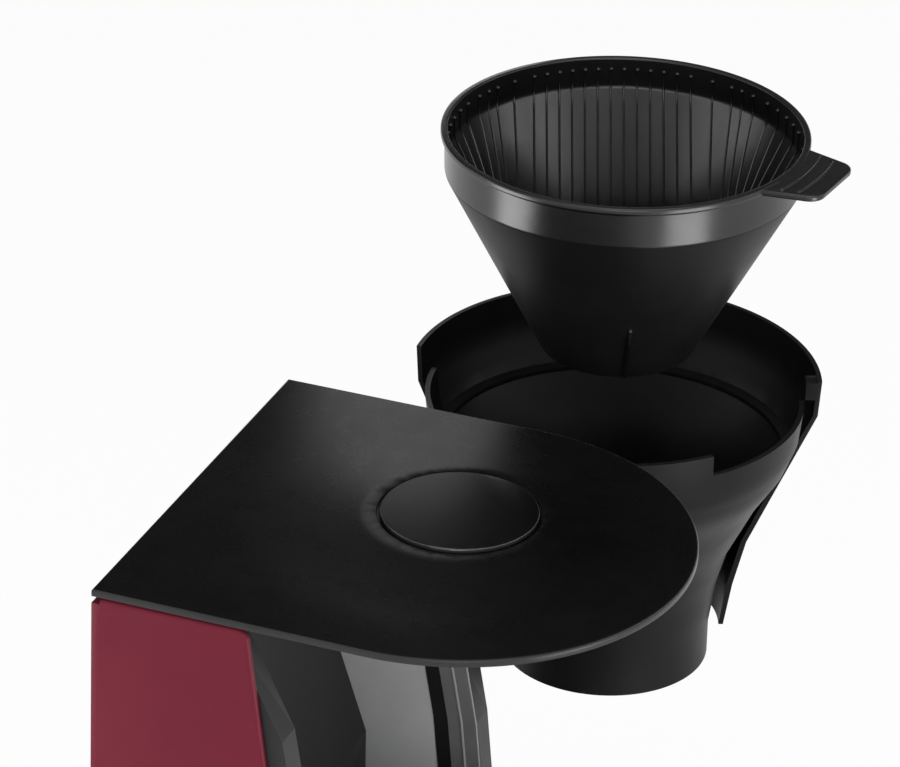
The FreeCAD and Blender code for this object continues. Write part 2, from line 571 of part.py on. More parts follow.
def make_cover():
    """Coloured cover, one panel bent around both sides and the flat end of the tower."""
    cover = new_body("side_cover")
    outside = outline([
        (BACK, COVER_TOP), (BACK + S.cover_top_reach, COVER_TOP, S.cover_corner),
        (BACK + S.cover_low_reach, S.base_height), (BACK - S.end_draft, S.base_height),
    ])
    sketch = new_sketch(cover, "XZ_Plane", outside)
    block = extrude(cover, "Pad", sketch, "Sizes.lid_width", symmetric=True)

    def front_edge(edge):
        middle = edge.CenterOfMass
        upright = edge.Length > 0.6 * S.machine_height
        return upright and middle.x > BACK / 2 and abs(middle.y) > HALF_WIDTH - 1e-3

    round_edges(cover, block, "0.7 * Sizes.cover_wall", front_edge)
    high = S.machine_height + OVER
    slope = S.end_draft / (COVER_TOP - S.base_height)
    inside = outline([
        (BACK + S.cover_wall + slope * (high - COVER_TOP), high),
        (BACK + S.cover_wall - slope * (COVER_TOP - S.base_height + OVER), S.base_height - OVER),
        (OVER * 3, S.base_height - OVER), (OVER * 3, high),
    ])
    sketch = new_sketch(cover, "XZ_Plane", inside)
    extrude(cover, "Pocket", sketch, "Sizes.lid_width - 2 * Sizes.cover_wall", symmetric=True)
    low = LID_AXIS_Z - 2 * S.lid_knuckle_radius
    notch = outline([(BACK - OVER, low), (BACK + OVER, low), (BACK + OVER, high), (BACK - OVER, high)])
    sketch = new_sketch(cover, "XZ_Plane", notch)
    span = "2 * Sizes.lid_knuckle_middle + Sizes.lid_knuckle_length + 16"
    extrude(cover, "Pocket", sketch, span, symmetric=True)
    heel = LID_AXIS_Z - S.fit_gap
    corner = outline([(BACK - OVER, heel), (BACK + 3.5, heel), (BACK + 3.5, high), (BACK - OVER, high)])
    sketch = new_sketch(cover, "XZ_Plane", corner)
    extrude(cover, "Pocket", sketch, "2 * Sizes.lid_width", symmetric=True)
    far_cut(cover, "20 + 2 * Sizes.cover_wall")


def make_tank():
    """Open-topped water tank inside the tower, with its outlet in the floor."""
    tank = new_body("water_tank")
    left = BACK + S.cover_wall + S.tower_wall + 2 * S.fit_gap
    foot = TANK_FOOT + S.fit_gap
    slope = S.end_draft / (TOWER_TOP - TANK_FOOT)
    gap = S.tower_wall + S.fit_gap
    lean = slope * (TANK_TOP - foot)
    side = [(left, TANK_TOP), (left - lean, foot), (BAY_LOW_X - gap, foot)]
    side += bay_wall(gap)[::-1] + [(BAY_TOP_X - gap, TANK_TOP)]
    sketch = new_sketch(tank, "XZ_Plane", outline(side), offset=TANK_SIDE)
    length = "Sizes.lid_width - 2 * Sizes.cover_wall - Sizes.riser_room - Sizes.tower_wall - 3 * Sizes.fit_gap"
    extrude(tank, "Pad", sketch, length, reverse=True)
    wall = S.tank_wall
    gap = gap + wall
    inside = [(left + wall, TANK_TOP + OVER), (left + wall - lean, foot + wall)]
    inside += [(BAY_LOW_X - gap, foot + wall)]
    inside += bay_wall(gap)[::-1] + [(BAY_TOP_X - gap, TANK_TOP + OVER)]
    sketch = new_sketch(tank, "XZ_Plane", outline(inside), offset=TANK_SIDE - wall)
    extrude(tank, "Pocket", sketch, length + " - 2 * Sizes.tank_wall")
    outlet = [circle(VALVE.x, VALVE.y, S.hose_bore_radius + 1.0)]
    sketch = new_sketch(tank, "XY_Plane", outlet, offset=foot + 3 * wall)
    extrude(tank, "Pocket", sketch, "5 * Sizes.tank_wall")


# Water path: tank valve, feed hose, heater loop, riser and spout arm


def loop_path(level, leg):
    """Horseshoe about the brew axis whose two legs reach back to leg."""
    near = Vector(S.brew_axis_x, -S.heater_radius, level)
    far = Vector(S.brew_axis_x, S.heater_radius, level)
    tip = Vector(S.brew_axis_x + S.heater_radius, 0, level)
    return Part.Wire([
        Part.LineSegment(Vector(leg, S.heater_radius, level), far).toShape(),
        Part.Arc(far, tip, near).toShape(),
        Part.LineSegment(near, Vector(leg, -S.heater_radius, level)).toShape(),
    ])


def make_water_path():
    """Everything between the tank and the shower holes above the basket."""
    leg = S.brew_axis_x - 1.25 * S.heater_radius
    element_leg = S.brew_axis_x - 0.575 * S.heater_radius
    nipple = 6.0
    foot = TANK_FOOT + S.fit_gap
    bore = S.hose_bore_radius
    turned("tank_valve", [
        (0, S.base_height - nipple), (bore, S.base_height - nipple), (bore, S.base_height),
        (bore + S.hose_wall + 2.0, S.base_height), (bore + S.hose_wall + 2.0, foot),
        (bore + 0.9, foot), (bore + 0.9, foot + S.tank_wall), (0, foot + S.tank_wall),
    ], at(VALVE))
    route = rounded_path([
        VALVE + Vector(0, 0, S.base_height), VALVE + Vector(0, 0, WATER_Z),
        Vector(leg, S.heater_radius, WATER_Z),
    ], S.hose_bend)
    new_feature("feed_hose", swept(route, bore + S.hose_wall).cut(swept(route, bore)))
    tube = swept(loop_path(WATER_Z, leg), S.heater_tube_radius)
    neck = Part.makeCylinder(bore, nipple, Vector(leg - nipple, S.heater_radius, WATER_Z), Vector(1, 0, 0))
    inside = swept(loop_path(WATER_Z, leg - nipple), S.heater_tube_radius - S.tube_wall)
    new_feature("water_tube", tube.fuse(neck).cut(inside))
    new_feature("heating_element", swept(loop_path(ELEMENT_Z, element_leg), S.heater_tube_radius))
    route = rounded_path([
        Vector(leg, -S.heater_radius, WATER_Z), Vector(leg - 0.6 * S.heater_radius, -S.heater_radius, WATER_Z),
        RISER + Vector(0, 0, WATER_Z), RISER + Vector(0, 0, TOWER_TOP),
    ], S.hose_bend)
    outer = S.heater_tube_radius
    new_feature("riser_tube", swept(route, outer).cut(swept(route, outer - S.tube_wall)))

    arm = new_body("spout_arm")
    half = S.arm_width / 2
    start = RISER
    along = (CLOSED - start).normalize()
    across = Vector(-along.y, along.x, 0) * half
    bar = [
        Part.LineSegment(start - across, CLOSED - across),
        Part.Arc(CLOSED - across, CLOSED + along * half, CLOSED + across),
        Part.LineSegment(CLOSED + across, start + across),
        Part.Arc(start + across, start - along * half, start - across),
    ]
    sketch = new_sketch(arm, "XY_Plane", bar, offset=TOWER_TOP)
    extrude(arm, "Pad", sketch, "Sizes.arm_thickness")
    ring = half * 0.6
    holes = [circle(CLOSED.x, CLOSED.y, S.shower_hole_radius)]
    for step in range(6):
        turn = math.radians(60 * step)
        spot = CLOSED + Vector(ring * math.cos(turn), ring * math.sin(turn), 0)
        holes.append(circle(spot.x, spot.y, S.shower_hole_radius))
    holes.append(circle(start.x, start.y, outer - S.tube_wall))
    sketch = new_sketch(arm, "XY_Plane", holes, offset=TOWER_TOP + S.arm_thickness)
    extrude(arm, "Pocket", sketch, "2 * Sizes.arm_thickness")


def make_heater():
    """Warming plate, its seal, the clamp under the heater loop, thermostat and fuse."""
    axis = at(CLOSED)
    turned("hot_plate", [
        (0, PLATE_FOOT), (S.hot_plate_radius, PLATE_FOOT), (S.hot_plate_radius, PLATE_TOP - 0.6),
        (S.hot_plate_radius - 0.8, PLATE_TOP), (0, PLATE_TOP),
    ], axis)
    turned("plate_seal", [
        (S.plate_hole_radius + S.fit_gap, S.base_height), (S.hot_plate_radius + 1.0, S.base_height),
        (S.hot_plate_radius + 1.0, PLATE_FOOT), (S.plate_hole_radius + S.fit_gap, PLATE_FOOT),
    ], axis)
    clamp = new_body("heater_clamp")
    reach = S.heater_radius + S.heater_tube_radius
    level = WATER_Z - S.heater_tube_radius - S.fit_gap
    half = S.heater_tube_radius
    bar = outline([
        (S.brew_axis_x - half, -reach, half / 2), (S.brew_axis_x + half, -reach, half / 2),
        (S.brew_axis_x + half, reach, half / 2), (S.brew_axis_x - half, reach, half / 2),
    ])
    sketch = new_sketch(clamp, "XY_Plane", bar, offset=level)
    extrude(clamp, "Pad", sketch, "Sizes.plate_thickness", reverse=True)
    sketch = new_sketch(clamp, "XY_Plane", [circle(S.brew_axis_x, 0, 0.6 * half)], offset=level)
    extrude(clamp, "Pad", sketch, "4 * Sizes.heater_tube_radius + Sizes.fit_gap")
    top = WATER_Z - S.heater_tube_radius
    turned("thermostat", [(0, top - 9), (7, top - 9), (7, top - 3), (9, top - 3), (9, top), (0, top)],
           at(CLOSED + Vector(S.heater_radius, 0, 0)))
    under = level - S.plate_thickness
    fuse = new_body("thermal_fuse")
    can = [circle(S.brew_axis_x, under - 3.0, 3.0)]
    sketch = new_sketch(fuse, "XZ_Plane", can, offset=S.heater_radius / 2 + 8)
    extrude(fuse, "Pad", sketch, "Sizes.heater_radius / 2", reverse=True)


# Lid with its dome, disc and hinge


def make_lid():
    """D-shaped lid, drawn about the axis of its disc."""
    middle = Vector(S.disc_x, S.disc_y, 0)
    lid = new_body("lid", at(middle))
    top = S.machine_height
    edge = rounded_end(BACK, HALF_WIDTH, S.brew_axis_x, S.disc_x, S.disc_y)
    sketch = new_sketch(lid, "XY_Plane", edge, offset=LID_UNDER)
    plate = extrude(lid, "Pad", sketch, "Sizes.lid_thickness")
    round_edges(lid, plate, "Sizes.lid_edge_round", lambda edge: above(edge, top))
    half = S.dome_radius / 2
    rise = S.dome_height / 2
    bow = (half ** 2 + rise ** 2) / (2 * rise)
    flank = math.asin(half / bow) / 2
    crest = Vector(bow * math.sin(flank), top + S.dome_height - bow * (1 - math.cos(flank)), 0)
    hollow = Vector(S.dome_radius - bow * math.sin(flank), top + bow * (1 - math.cos(flank)), 0)
    joint = Vector(half, top + rise, 0)
    apex = Vector(0, top + S.dome_height, 0)
    foot = Vector(S.dome_radius, top, 0)
    sunk = Vector(0, -S.lid_thickness / 2, 0)
    heart = Vector(0, top, 0) + sunk
    dome = [
        Part.Arc(apex, crest, joint), Part.Arc(joint, hollow, foot), Part.LineSegment(foot, foot + sunk),
        Part.LineSegment(foot + sunk, heart), Part.LineSegment(heart, apex),
    ]
    sketch = new_sketch(lid, "XZ_Plane", dome)
    feature = lid.newObject("PartDesign::Revolution", "lid_dome")
    feature.Profile = sketch
    feature.ReferenceAxis = (sketch, ["V_Axis"])
    feature.Angle = 360
    recess = [circle(0, 0, S.disc_radius + S.disc_gap)]
    sketch = new_sketch(lid, "XY_Plane", recess, offset=top + S.dome_height)
    extrude(lid, "Pocket", sketch, "Sizes.disc_thickness + Sizes.disc_sink")
    x = LID_AXIS_X - S.disc_x
    web = [(x - 1.6, LID_AXIS_Z), (x + 1.6, LID_AXIS_Z), (x + 1.6, LID_UNDER + 1), (x - 1.6, LID_UNDER + 1)]
    for middle_y in (-S.lid_knuckle_middle, S.lid_knuckle_middle):
        start = S.disc_y - middle_y + S.lid_knuckle_length / 2
        sketch = new_sketch(lid, "XZ_Plane", outline(web), offset=start)
        extrude(lid, "Pad", sketch, "Sizes.lid_knuckle_length", reverse=True)
        sketch = new_sketch(lid, "XZ_Plane", [circle(x, LID_AXIS_Z, S.lid_knuckle_radius)], offset=start)
        extrude(lid, "Pad", sketch, "Sizes.lid_knuckle_length", reverse=True)
    sketch = new_sketch(lid, "XZ_Plane", [circle(x, LID_AXIS_Z, S.lid_pin_radius + S.pin_play)])
    extrude(lid, "Pocket", sketch, "2 * Sizes.lid_width", symmetric=True)

    disc = new_body("lid_disc", at(middle))
    level = top + S.dome_height - S.disc_sink
    sketch = new_sketch(disc, "XY_Plane", [circle(0, 0, S.disc_radius)], offset=level - S.disc_thickness)
    plate = extrude(disc, "Pad", sketch, "Sizes.disc_thickness")
    round_edges(disc, plate, "Sizes.disc_gap / 2", lambda edge: edge.CenterOfMass.z > level - 1e-3)
    length = "2 * Sizes.lid_knuckle_middle + Sizes.lid_knuckle_length"
    length += " + 2 * Sizes.side_play + 2 * Sizes.ear_length"
    span = 2 * S.lid_knuckle_middle + S.lid_knuckle_length + 2 * S.side_play + 2 * S.ear_length
    start = Vector(LID_AXIS_X, -span / 2, LID_AXIS_Z)
    new_cylinder("lid_pin", "Sizes.lid_pin_radius", length, start, Vector(0, 1, 0))


# Swing carrier: funnel with its hinge arm, outer shell, drip stop and basket
FUNNEL_SHAPE = [(0.805, 0.339), (0.65, 0.554), (0.594, 0.691)]
FUNNEL_SIDE = [
    (along * S.funnel_rim_radius, LOW_RIM - down * (LOW_RIM - SKIRT_FOOT)) for along, down in FUNNEL_SHAPE
]
FUNNEL_SHOULDER = 0.9275 * S.funnel_rim_radius
FUNNEL_COLLAR = (0.981 * S.funnel_rim_radius, (LOW_RIM + SHOULDER) / 2 - 1.25)
SHELL_SHAPE = [(0.9885, 0.138), (0.787, 0.473), (0.678, 0.657), (0.621, 0.833), (0.586, 1.0)]
SHELL_SIDE = [(along * SHELL_RADIUS, SHELL_RIM - down * S.shell_height) for along, down in SHELL_SHAPE]


def radius_at(side, height):
    """Radius of a side outline, given from its top down, at a height."""
    for (upper, high), (lower, low) in zip(side, side[1:]):
        if low <= height <= high:
            return lower + (upper - lower) * (height - low) / (high - low)
    raise ValueError(f"no side at height {height}")


def make_funnel():
    """Funnel, drawn about the axis of the closed carrier."""
    wall = S.funnel_wall
    skirt_top = SKIRT_FOOT + 0.126 * (LOW_RIM - SKIRT_FOOT)
    under = FUNNEL_FLOOR - S.floor_thickness
    boss_foot = under - S.boss_height
    bore = S.valve_stem_radius + S.pin_play
    boss = 2 * S.valve_stem_radius
    inner = S.skirt_radius - wall
    funnel = new_body("carrier_funnel", carried())
    corners = [(FUNNEL_SHOULDER, SHOULDER)] + FUNNEL_SIDE
    corners += [(S.skirt_radius, skirt_top), (S.skirt_radius, SKIRT_FOOT), (inner, SKIRT_FOOT), (inner, under)]
    corners += [(boss, under), (boss, boss_foot), (bore, boss_foot)]
    corners += [(bore, FUNNEL_FLOOR), (inner, FUNNEL_FLOOR)]
    corners += [(radius - wall, height) for radius, height in FUNNEL_SIDE[::-1]]
    corners += [(FUNNEL_SHOULDER - wall, SHOULDER)]
    revolve(funnel, corners)
    rim = S.funnel_rim_radius
    revolve(funnel, [
        (FUNNEL_SHOULDER - wall, SHOULDER), (FUNNEL_SHOULDER, SHOULDER), FUNNEL_COLLAR,
        (rim, LOW_RIM), (rim - wall, LOW_RIM), (FUNNEL_COLLAR[0] - wall, FUNNEL_COLLAR[1]),
    ], "360 - Sizes.shell_span", 180.0 + S.shell_turn)
    tab_top = LOW_RIM + S.funnel_tab_rise
    tab = [(rim - wall, LOW_RIM), (rim, LOW_RIM), (rim, tab_top), (rim - wall, tab_top)]
    tab_turn = S.shell_turn - (S.shell_span + S.funnel_tab_span) / 2 - S.rim_notch_span
    revolve(funnel, tab, "Sizes.funnel_tab_span", tab_turn)
    foot = KNUCKLE_FOOT + S.knuckle_play
    top = KNUCKLE_TOP - S.knuckle_play
    half = wall / 2
    web_top = LOW_RIM - S.rim_step
    web = [(HINGE_REACH - 2, web_top), (rim - half, web_top), (FUNNEL_COLLAR[0] - half, FUNNEL_COLLAR[1])]
    web += [(FUNNEL_SHOULDER - half, SHOULDER)]
    web += [(radius - half, height) for radius, height in FUNNEL_SIDE[:2]]
    web += [(HINGE_REACH - 2, KNUCKLE_FOOT + 14.0)]
    sketch = new_sketch(funnel, "XZ_Plane", outline(web), turn=HINGE_ANGLE)
    extrude(funnel, "Pad", sketch, "Sizes.arm_plate", symmetric=True)
    eye = Rotation(Vector(0, 0, 1), HINGE_ANGLE).multVec(Vector(HINGE_REACH, 0, 0))
    sketch = new_sketch(funnel, "XY_Plane", [circle(eye.x, eye.y, S.knuckle_radius)], offset=foot)
    extrude(funnel, "Pad", sketch, "Sizes.knuckle_height - 2 * Sizes.knuckle_play")
    hole = [circle(eye.x, eye.y, S.hinge_pin_radius + S.pin_play)]
    sketch = new_sketch(funnel, "XY_Plane", hole, offset=top + 1)
    extrude(funnel, "Pocket", sketch, "Sizes.knuckle_height + 2")
    drains = []
    for step in range(3):
        turn = math.radians(120 * step)
        drains.append(circle(2.5 * boss * math.cos(turn), 2.5 * boss * math.sin(turn), S.shower_hole_radius))
    sketch = new_sketch(funnel, "XY_Plane", drains, offset=FUNNEL_FLOOR + 1)
    extrude(funnel, "Pocket", sketch, "Sizes.floor_thickness + 2")


def make_shell():
    """Outer half shell of the carrier, with the notch block beside the finger grip."""
    wall = S.shell_wall
    shell = new_body("carrier_shell", carried())
    seat = SHOULDER + S.fit_gap
    ledge = FUNNEL_SHOULDER - S.funnel_wall
    skin = 1.2 * wall
    corners = [(SHELL_RADIUS - wall, SHELL_RIM), (SHELL_RADIUS, SHELL_RIM)] + SHELL_SIDE
    corners += [(SHELL_SIDE[-1][0] - wall, SHELL_FOOT)]
    corners += [(radius - skin, height) for radius, height in SHELL_SIDE[3:0:-1]]
    corners += [(radius_at(SHELL_SIDE, seat) - skin, seat), (ledge, seat), (ledge, seat + wall)]
    corners += [(radius_at(SHELL_SIDE, seat + wall) - skin, seat + wall)]
    corners += [(SHELL_SIDE[0][0] - wall, SHELL_SIDE[0][1])]
    revolve(shell, corners, "Sizes.shell_span", S.shell_turn)
    inner = S.funnel_rim_radius + S.fit_gap
    outer = SHELL_RADIUS - wall / 4
    block_top = SHELL_RIM - wall / 2
    block_foot = LOW_RIM
    revolve(shell, [
        (inner, block_foot), (outer, block_foot), (outer, block_top), (inner, block_top),
    ], "5", S.shell_turn - S.shell_span / 2 + 2.5)


def make_drip_stop():
    """Spring-loaded plunger that the jug lifts, with its spring around the stem."""
    stem = S.valve_stem_radius
    seat = FUNNEL_FLOOR + 0.2
    button = VALVE_FOOT + stem
    head = S.valve_head_radius
    turned("drip_stop", [
        (0, VALVE_FOOT), (2 * stem, VALVE_FOOT), (2 * stem, button), (stem, button), (stem, seat),
        (head, seat), (head, seat + 1.8), (0, seat + 1.8),
    ], carried())
    low = button + 0.2
    high = FUNNEL_FLOOR - S.floor_thickness - S.boss_height - 0.2
    sleeve = [(stem + 0.8, low), (stem + 2.2, low), (stem + 2.2, high), (stem + 0.8, high)]
    turned("drip_spring", sleeve, carried())


def make_basket():
    """Filter basket, drawn about its own axis with its rim at zero and lifted clear of its seat."""
    basket = new_body("filter_basket", carried(LIFTED_RIM))
    wall = S.basket_wall
    foot = -S.basket_height
    collar = BASKET_RADIUS - S.basket_lip
    revolve(basket, [
        (collar - wall / 2, 0), (BASKET_RADIUS, 0), (BASKET_RADIUS, -1.5 * wall), (collar, -2.25 * wall),
        (collar, -S.basket_collar), (S.basket_foot_radius, foot), (S.basket_drain_radius, foot),
        (S.basket_drain_radius, foot + wall), (S.basket_foot_radius - wall / 2, foot + wall),
        (collar - wall, -S.basket_collar - wall / 3), (collar - wall, -1.5 * wall),
    ])
    half = S.grip_width / 2
    root_half = S.grip_root_width / 2
    root = BASKET_RADIUS - 1.7 * wall
    tip = BASKET_RADIUS + S.grip_length
    turn = Rotation(Vector(0, 0, 1), S.grip_angle)
    corners = []
    for radius, side, rounding in (
        (root, -root_half, 0), (tip, -half, 7.0), (tip, half, 7.0), (root, root_half, 0),
    ):
        point = turn.multVec(Vector(radius, side, 0))
        corners.append((point.x, point.y, rounding))
    sketch = new_sketch(basket, "XY_Plane", outline(corners))
    extrude(basket, "Pad", sketch, "Sizes.grip_thickness", reverse=True)
    cone = (collar - S.basket_foot_radius) / (S.basket_height - S.basket_collar)
    fin_top = -0.68 * S.basket_height
    fin_radius = collar - cone * (-fin_top - S.basket_collar)
    fin = outline([
        (fin_radius - wall / 2, fin_top), (fin_radius + 0.9, fin_top - 3.0),
        (S.basket_foot_radius + 2.5, foot), (S.basket_foot_radius - wall / 2, foot),
    ])
    sketch = new_sketch(basket, "XZ_Plane", fin, turn=-157.0)
    extrude(basket, "Pad", sketch, "Sizes.basket_wall", symmetric=True)


def make_hinge_pin():
    """Upright pin that carries the carrier."""
    base = Vector(HINGE.x, HINGE.y, KNUCKLE_FOOT - S.pin_seat)
    length = "Sizes.knuckle_height + Sizes.pin_seat + Sizes.lug_thickness"
    new_cylinder("carrier_pin", "Sizes.hinge_pin_radius", length, base)


# Jug with its band, handle and lid


def make_jug():
    """Glass jug on the warming plate."""
    axis = at(CLOSED)
    foot = JUG_FOOT
    tall = S.jug_height
    wall = S.jug_wall
    belly = [
        (S.jug_radius - 3.0, foot + 0.073 * tall, 14.0), (S.jug_radius, foot + 0.378 * tall),
        (S.jug_radius - 4.0, foot + 0.685 * tall, 45.0),
    ]
    neck = S.jug_neck_radius
    low = JUG_TOP - S.band_height - 2.0
    shoulder = low - 8.5
    inner = S.jug_floor_radius + S.pin_play
    corners = [(inner, foot), (S.jug_radius - 14.0, foot, 3.0)] + belly
    corners += [(neck, shoulder, 20.0), (neck, JUG_TOP)]
    corners += [(neck - wall, JUG_TOP), (neck - wall, shoulder - 0.6, 20.0)]
    corners += [(radius - wall, *rest) for radius, *rest in belly[::-1]]
    corners += [(S.jug_radius - 14.8, foot + wall), (inner, foot + wall)]
    turned("jug_glass", corners, axis)
    disc = S.jug_floor_radius
    turned("jug_floor", [(0, foot), (disc, foot), (disc, foot + wall), (0, foot + wall)], axis)
    inner = neck + 0.2
    outer = inner + S.band_thickness
    high = low + S.band_height
    turned("jug_band", [(inner, low), (outer, low), (outer, high), (inner, high)], axis)
    handle = new_body("jug_handle", axis)
    near = outer + 0.2
    reach = S.jug_radius + S.handle_reach
    grip = foot + 0.54 * tall
    bar = 0.4 * S.handle_width
    profile = outline([
        (near, high + 1.0), (reach - bar, high + 1.0, 1.6 * bar),
        (reach, grip, 3.3 * bar), (reach - bar, foot + 0.2 * tall, 1.1 * bar),
        (reach - 2.6 * bar, foot + 0.15 * tall, 0.3 * bar), (reach - 2.9 * bar, foot + 0.23 * tall, 0.3 * bar),
        (reach - 1.95 * bar, foot + 0.264 * tall, 0.8 * bar), (reach - 1.4 * bar, grip, 2.7 * bar),
        (reach - 2.1 * bar, high - 1.8 * bar, 0.8 * bar), (near, high - 1.8 * bar),
    ])
    sketch = new_sketch(handle, "XZ_Plane", profile)
    extrude(handle, "Pad", sketch, "Sizes.handle_width", symmetric=True)
    lid = new_body("jug_lid", axis)
    seat = JUG_TOP + S.jug_stand_gap
    plug = neck - wall - 0.5
    revolve(lid, [
        (9.0, seat + 1.2), (plug - 3.0, seat), (plug - 3.0, seat - 7.0), (plug, seat - 7.0), (plug, seat),
        (neck + 2.0, seat), (neck + 2.0, seat + 3.0), (plug - 5.0, seat + 6.0), (9.0, seat + 3.2),
    ])
    side = S.thumb_width / 2
    far = plug - S.thumb_width
    back = far - S.thumb_length
    bend = side / 2
    grip = outline([(back, -side, bend), (far, -side, bend), (far, side, bend), (back, side, bend)])
    sketch = new_sketch(lid, "XY_Plane", grip, offset=seat + 3.0)
    extrude(lid, "Pad", sketch, "6 * Sizes.seal_thickness")


# Switch and cord inlet


def make_switch():
    """Rocker switch in the near side of the base, resting in its off position."""
    frame = new_body("switch_frame")
    half = S.switch_length / 2
    rise = 8.0
    x = S.switch_x
    z = S.switch_height
    face = BASE_HALF
    flange = outline([
        (x - half, z - rise, 2.0), (x + half, z - rise, 2.0),
        (x + half, z + rise, 2.0), (x - half, z + rise, 2.0),
    ])
    sketch = new_sketch(frame, "XZ_Plane", flange, offset=face)
    extrude(frame, "Pad", sketch, "Sizes.seal_thickness")
    inner = half - 2.0 - S.fit_gap
    box = outline([(x - inner, z - 5.7), (x + inner, z - 5.7), (x + inner, z + 5.7), (x - inner, z + 5.7)])
    sketch = new_sketch(frame, "XZ_Plane", box, offset=face)
    extrude(frame, "Pad", sketch, "Sizes.switch_depth", reverse=True)
    room = S.switch_length / 2 - 3.0
    pocket = outline([(x - room, z - 4.7), (x + room, z - 4.7), (x + room, z + 4.7), (x - room, z + 4.7)])
    sketch = new_sketch(frame, "XZ_Plane", pocket, offset=face + S.seal_thickness)
    extrude(frame, "Pocket", sketch, "Sizes.switch_depth - Sizes.base_wall / 2")
    pivot = Vector(x, -face + 3.5, z)
    rocker = new_body("switch_rocker", Placement(pivot, Rotation(Vector(0, 0, 1), -S.rocker_tilt)))
    span = S.rocker_length / 2
    profile = [
        Part.LineSegment(Vector(-span, 3.5, 0), Vector(span, 3.5, 0)),
        Part.LineSegment(Vector(span, 3.5, 0), Vector(span, -6.5, 0)),
        Part.Arc(Vector(span, -6.5, 0), Vector(0, -5.0, 0), Vector(-span, -6.5, 0)),
        Part.LineSegment(Vector(-span, -6.5, 0), Vector(-span, 3.5, 0)),
    ]
    sketch = new_sketch(rocker, "XY_Plane", profile)
    extrude(rocker, "Pad", sketch, "8.8", symmetric=True)


def make_gland():
    """Bush where the mains lead enters the flat end."""
    gland = new_body("cord_gland")
    bore = circle(S.gland_y, S.gland_height, S.gland_bore_radius)
    ring = [circle(S.gland_y, S.gland_height, S.gland_radius), bore]
    sketch = new_sketch(gland, "YZ_Plane", ring, offset=BASE_BACK)
    extrude(gland, "Pad", sketch, "2 * Sizes.base_wall", reverse=True)
    bore = circle(S.gland_y, S.gland_height, S.gland_bore_radius)
    barrel = [circle(S.gland_y, S.gland_height, S.gland_radius - 2.0 - S.fit_gap / 2), bore]
    sketch = new_sketch(gland, "YZ_Plane", barrel, offset=BASE_BACK)
    extrude(gland, "Pad", sketch, "2 * Sizes.base_wall")


make_base()
make_tower()
make_cover()
make_tank()
make_water_path()
make_heater()
make_lid()
make_funnel()
make_shell()
make_drip_stop()
make_basket()
make_hinge_pin()
make_jug()
make_switch()
make_gland()
doc.recompute()

for item in doc.Objects:
    if "Invalid" in item.State or "Error" in item.State:
        raise RuntimeError(f"{item.Name} failed: {item.State}")
os.makedirs("parts", exist_ok=True)
for node in NODES:
    shape = node.Shape
    if shape.isNull() or not shape.isValid() or len(shape.Solids) != 1:
        raise RuntimeError(f"{node.Label} is not one sound solid: {len(shape.Solids)} solids")
for node in NODES:
    node.Shape.exportStep(f"parts/{node.Label}.step")
    print(f"{node.Label}: {node.Shape.Volume / 1000:.2f} cm3")
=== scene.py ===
"""Dressing of a drip coffee maker.

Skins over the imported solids, fine details, finishes, studio and camera.
"""
from __future__ import annotations

import json
import logging
import math
from dataclasses import dataclass, field
from enum import Enum
from typing import Any, Callable, Sequence

import bmesh
import bpy
from mathutils import Matrix, Vector

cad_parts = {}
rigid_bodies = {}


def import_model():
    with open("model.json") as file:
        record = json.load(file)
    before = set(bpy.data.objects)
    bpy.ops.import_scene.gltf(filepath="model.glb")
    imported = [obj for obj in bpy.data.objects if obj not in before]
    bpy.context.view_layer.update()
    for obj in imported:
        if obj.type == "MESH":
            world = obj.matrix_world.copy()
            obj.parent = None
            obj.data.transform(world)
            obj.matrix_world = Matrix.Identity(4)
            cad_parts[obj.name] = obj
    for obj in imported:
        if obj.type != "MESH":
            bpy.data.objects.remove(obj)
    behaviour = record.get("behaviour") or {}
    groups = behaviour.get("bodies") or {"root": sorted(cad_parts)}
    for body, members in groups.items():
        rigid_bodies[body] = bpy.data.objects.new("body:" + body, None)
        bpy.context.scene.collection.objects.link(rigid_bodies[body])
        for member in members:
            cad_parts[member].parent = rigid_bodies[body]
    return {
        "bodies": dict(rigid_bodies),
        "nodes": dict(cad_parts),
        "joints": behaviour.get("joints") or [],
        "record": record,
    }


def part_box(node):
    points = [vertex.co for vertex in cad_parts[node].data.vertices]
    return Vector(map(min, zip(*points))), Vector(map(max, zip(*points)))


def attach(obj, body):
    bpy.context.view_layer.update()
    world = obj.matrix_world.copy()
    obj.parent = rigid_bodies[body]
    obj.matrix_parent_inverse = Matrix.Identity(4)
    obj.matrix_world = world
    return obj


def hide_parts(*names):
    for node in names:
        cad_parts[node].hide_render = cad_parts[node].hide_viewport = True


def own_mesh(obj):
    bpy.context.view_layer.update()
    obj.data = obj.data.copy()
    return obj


LOG = logging.getLogger("coffee_maker")
MM = 0.001
SKIN_CREASE = 32.0
TURN_CREASE = 38.0
DETAIL_CREASE = 40.0
SAME_POINT = 1e-7
WHITE = (1.0, 1.0, 1.0, 1.0)
Pair = tuple[float, float]
Triple = tuple[float, float, float]
Screen = tuple[int, int, int]
Sizes = tuple[tuple[str, float], ...]
Mesh = bpy.types.Mesh
Piece = bpy.types.Object
Face = bpy.types.MeshPolygon


@dataclass
class Wire:
    """A node's output that can be used in Python expressions."""

    shop: Shop
    socket: bpy.types.NodeSocket

    def _math(self, operation: str, first: Wire | float, second: Wire | float) -> Wire:
        """Add one Math node of two values or wires."""
        return self.shop.node("ShaderNodeMath", {0: first, 1: second}, operation=operation)

    def __add__(self, other: Wire | float) -> Wire:
        """Sum."""
        return self._math("ADD", self, other)

    def __mul__(self, other: Wire | float) -> Wire:
        """Product."""
        return self._math("MULTIPLY", self, other)

    def __rsub__(self, other: float) -> Wire:
        """Difference from a plain number."""
        return self._math("SUBTRACT", other, self)

    def most(self, other: Wire | float) -> Wire:
        """Larger of two values."""
        return self._math("MAXIMUM", self, other)


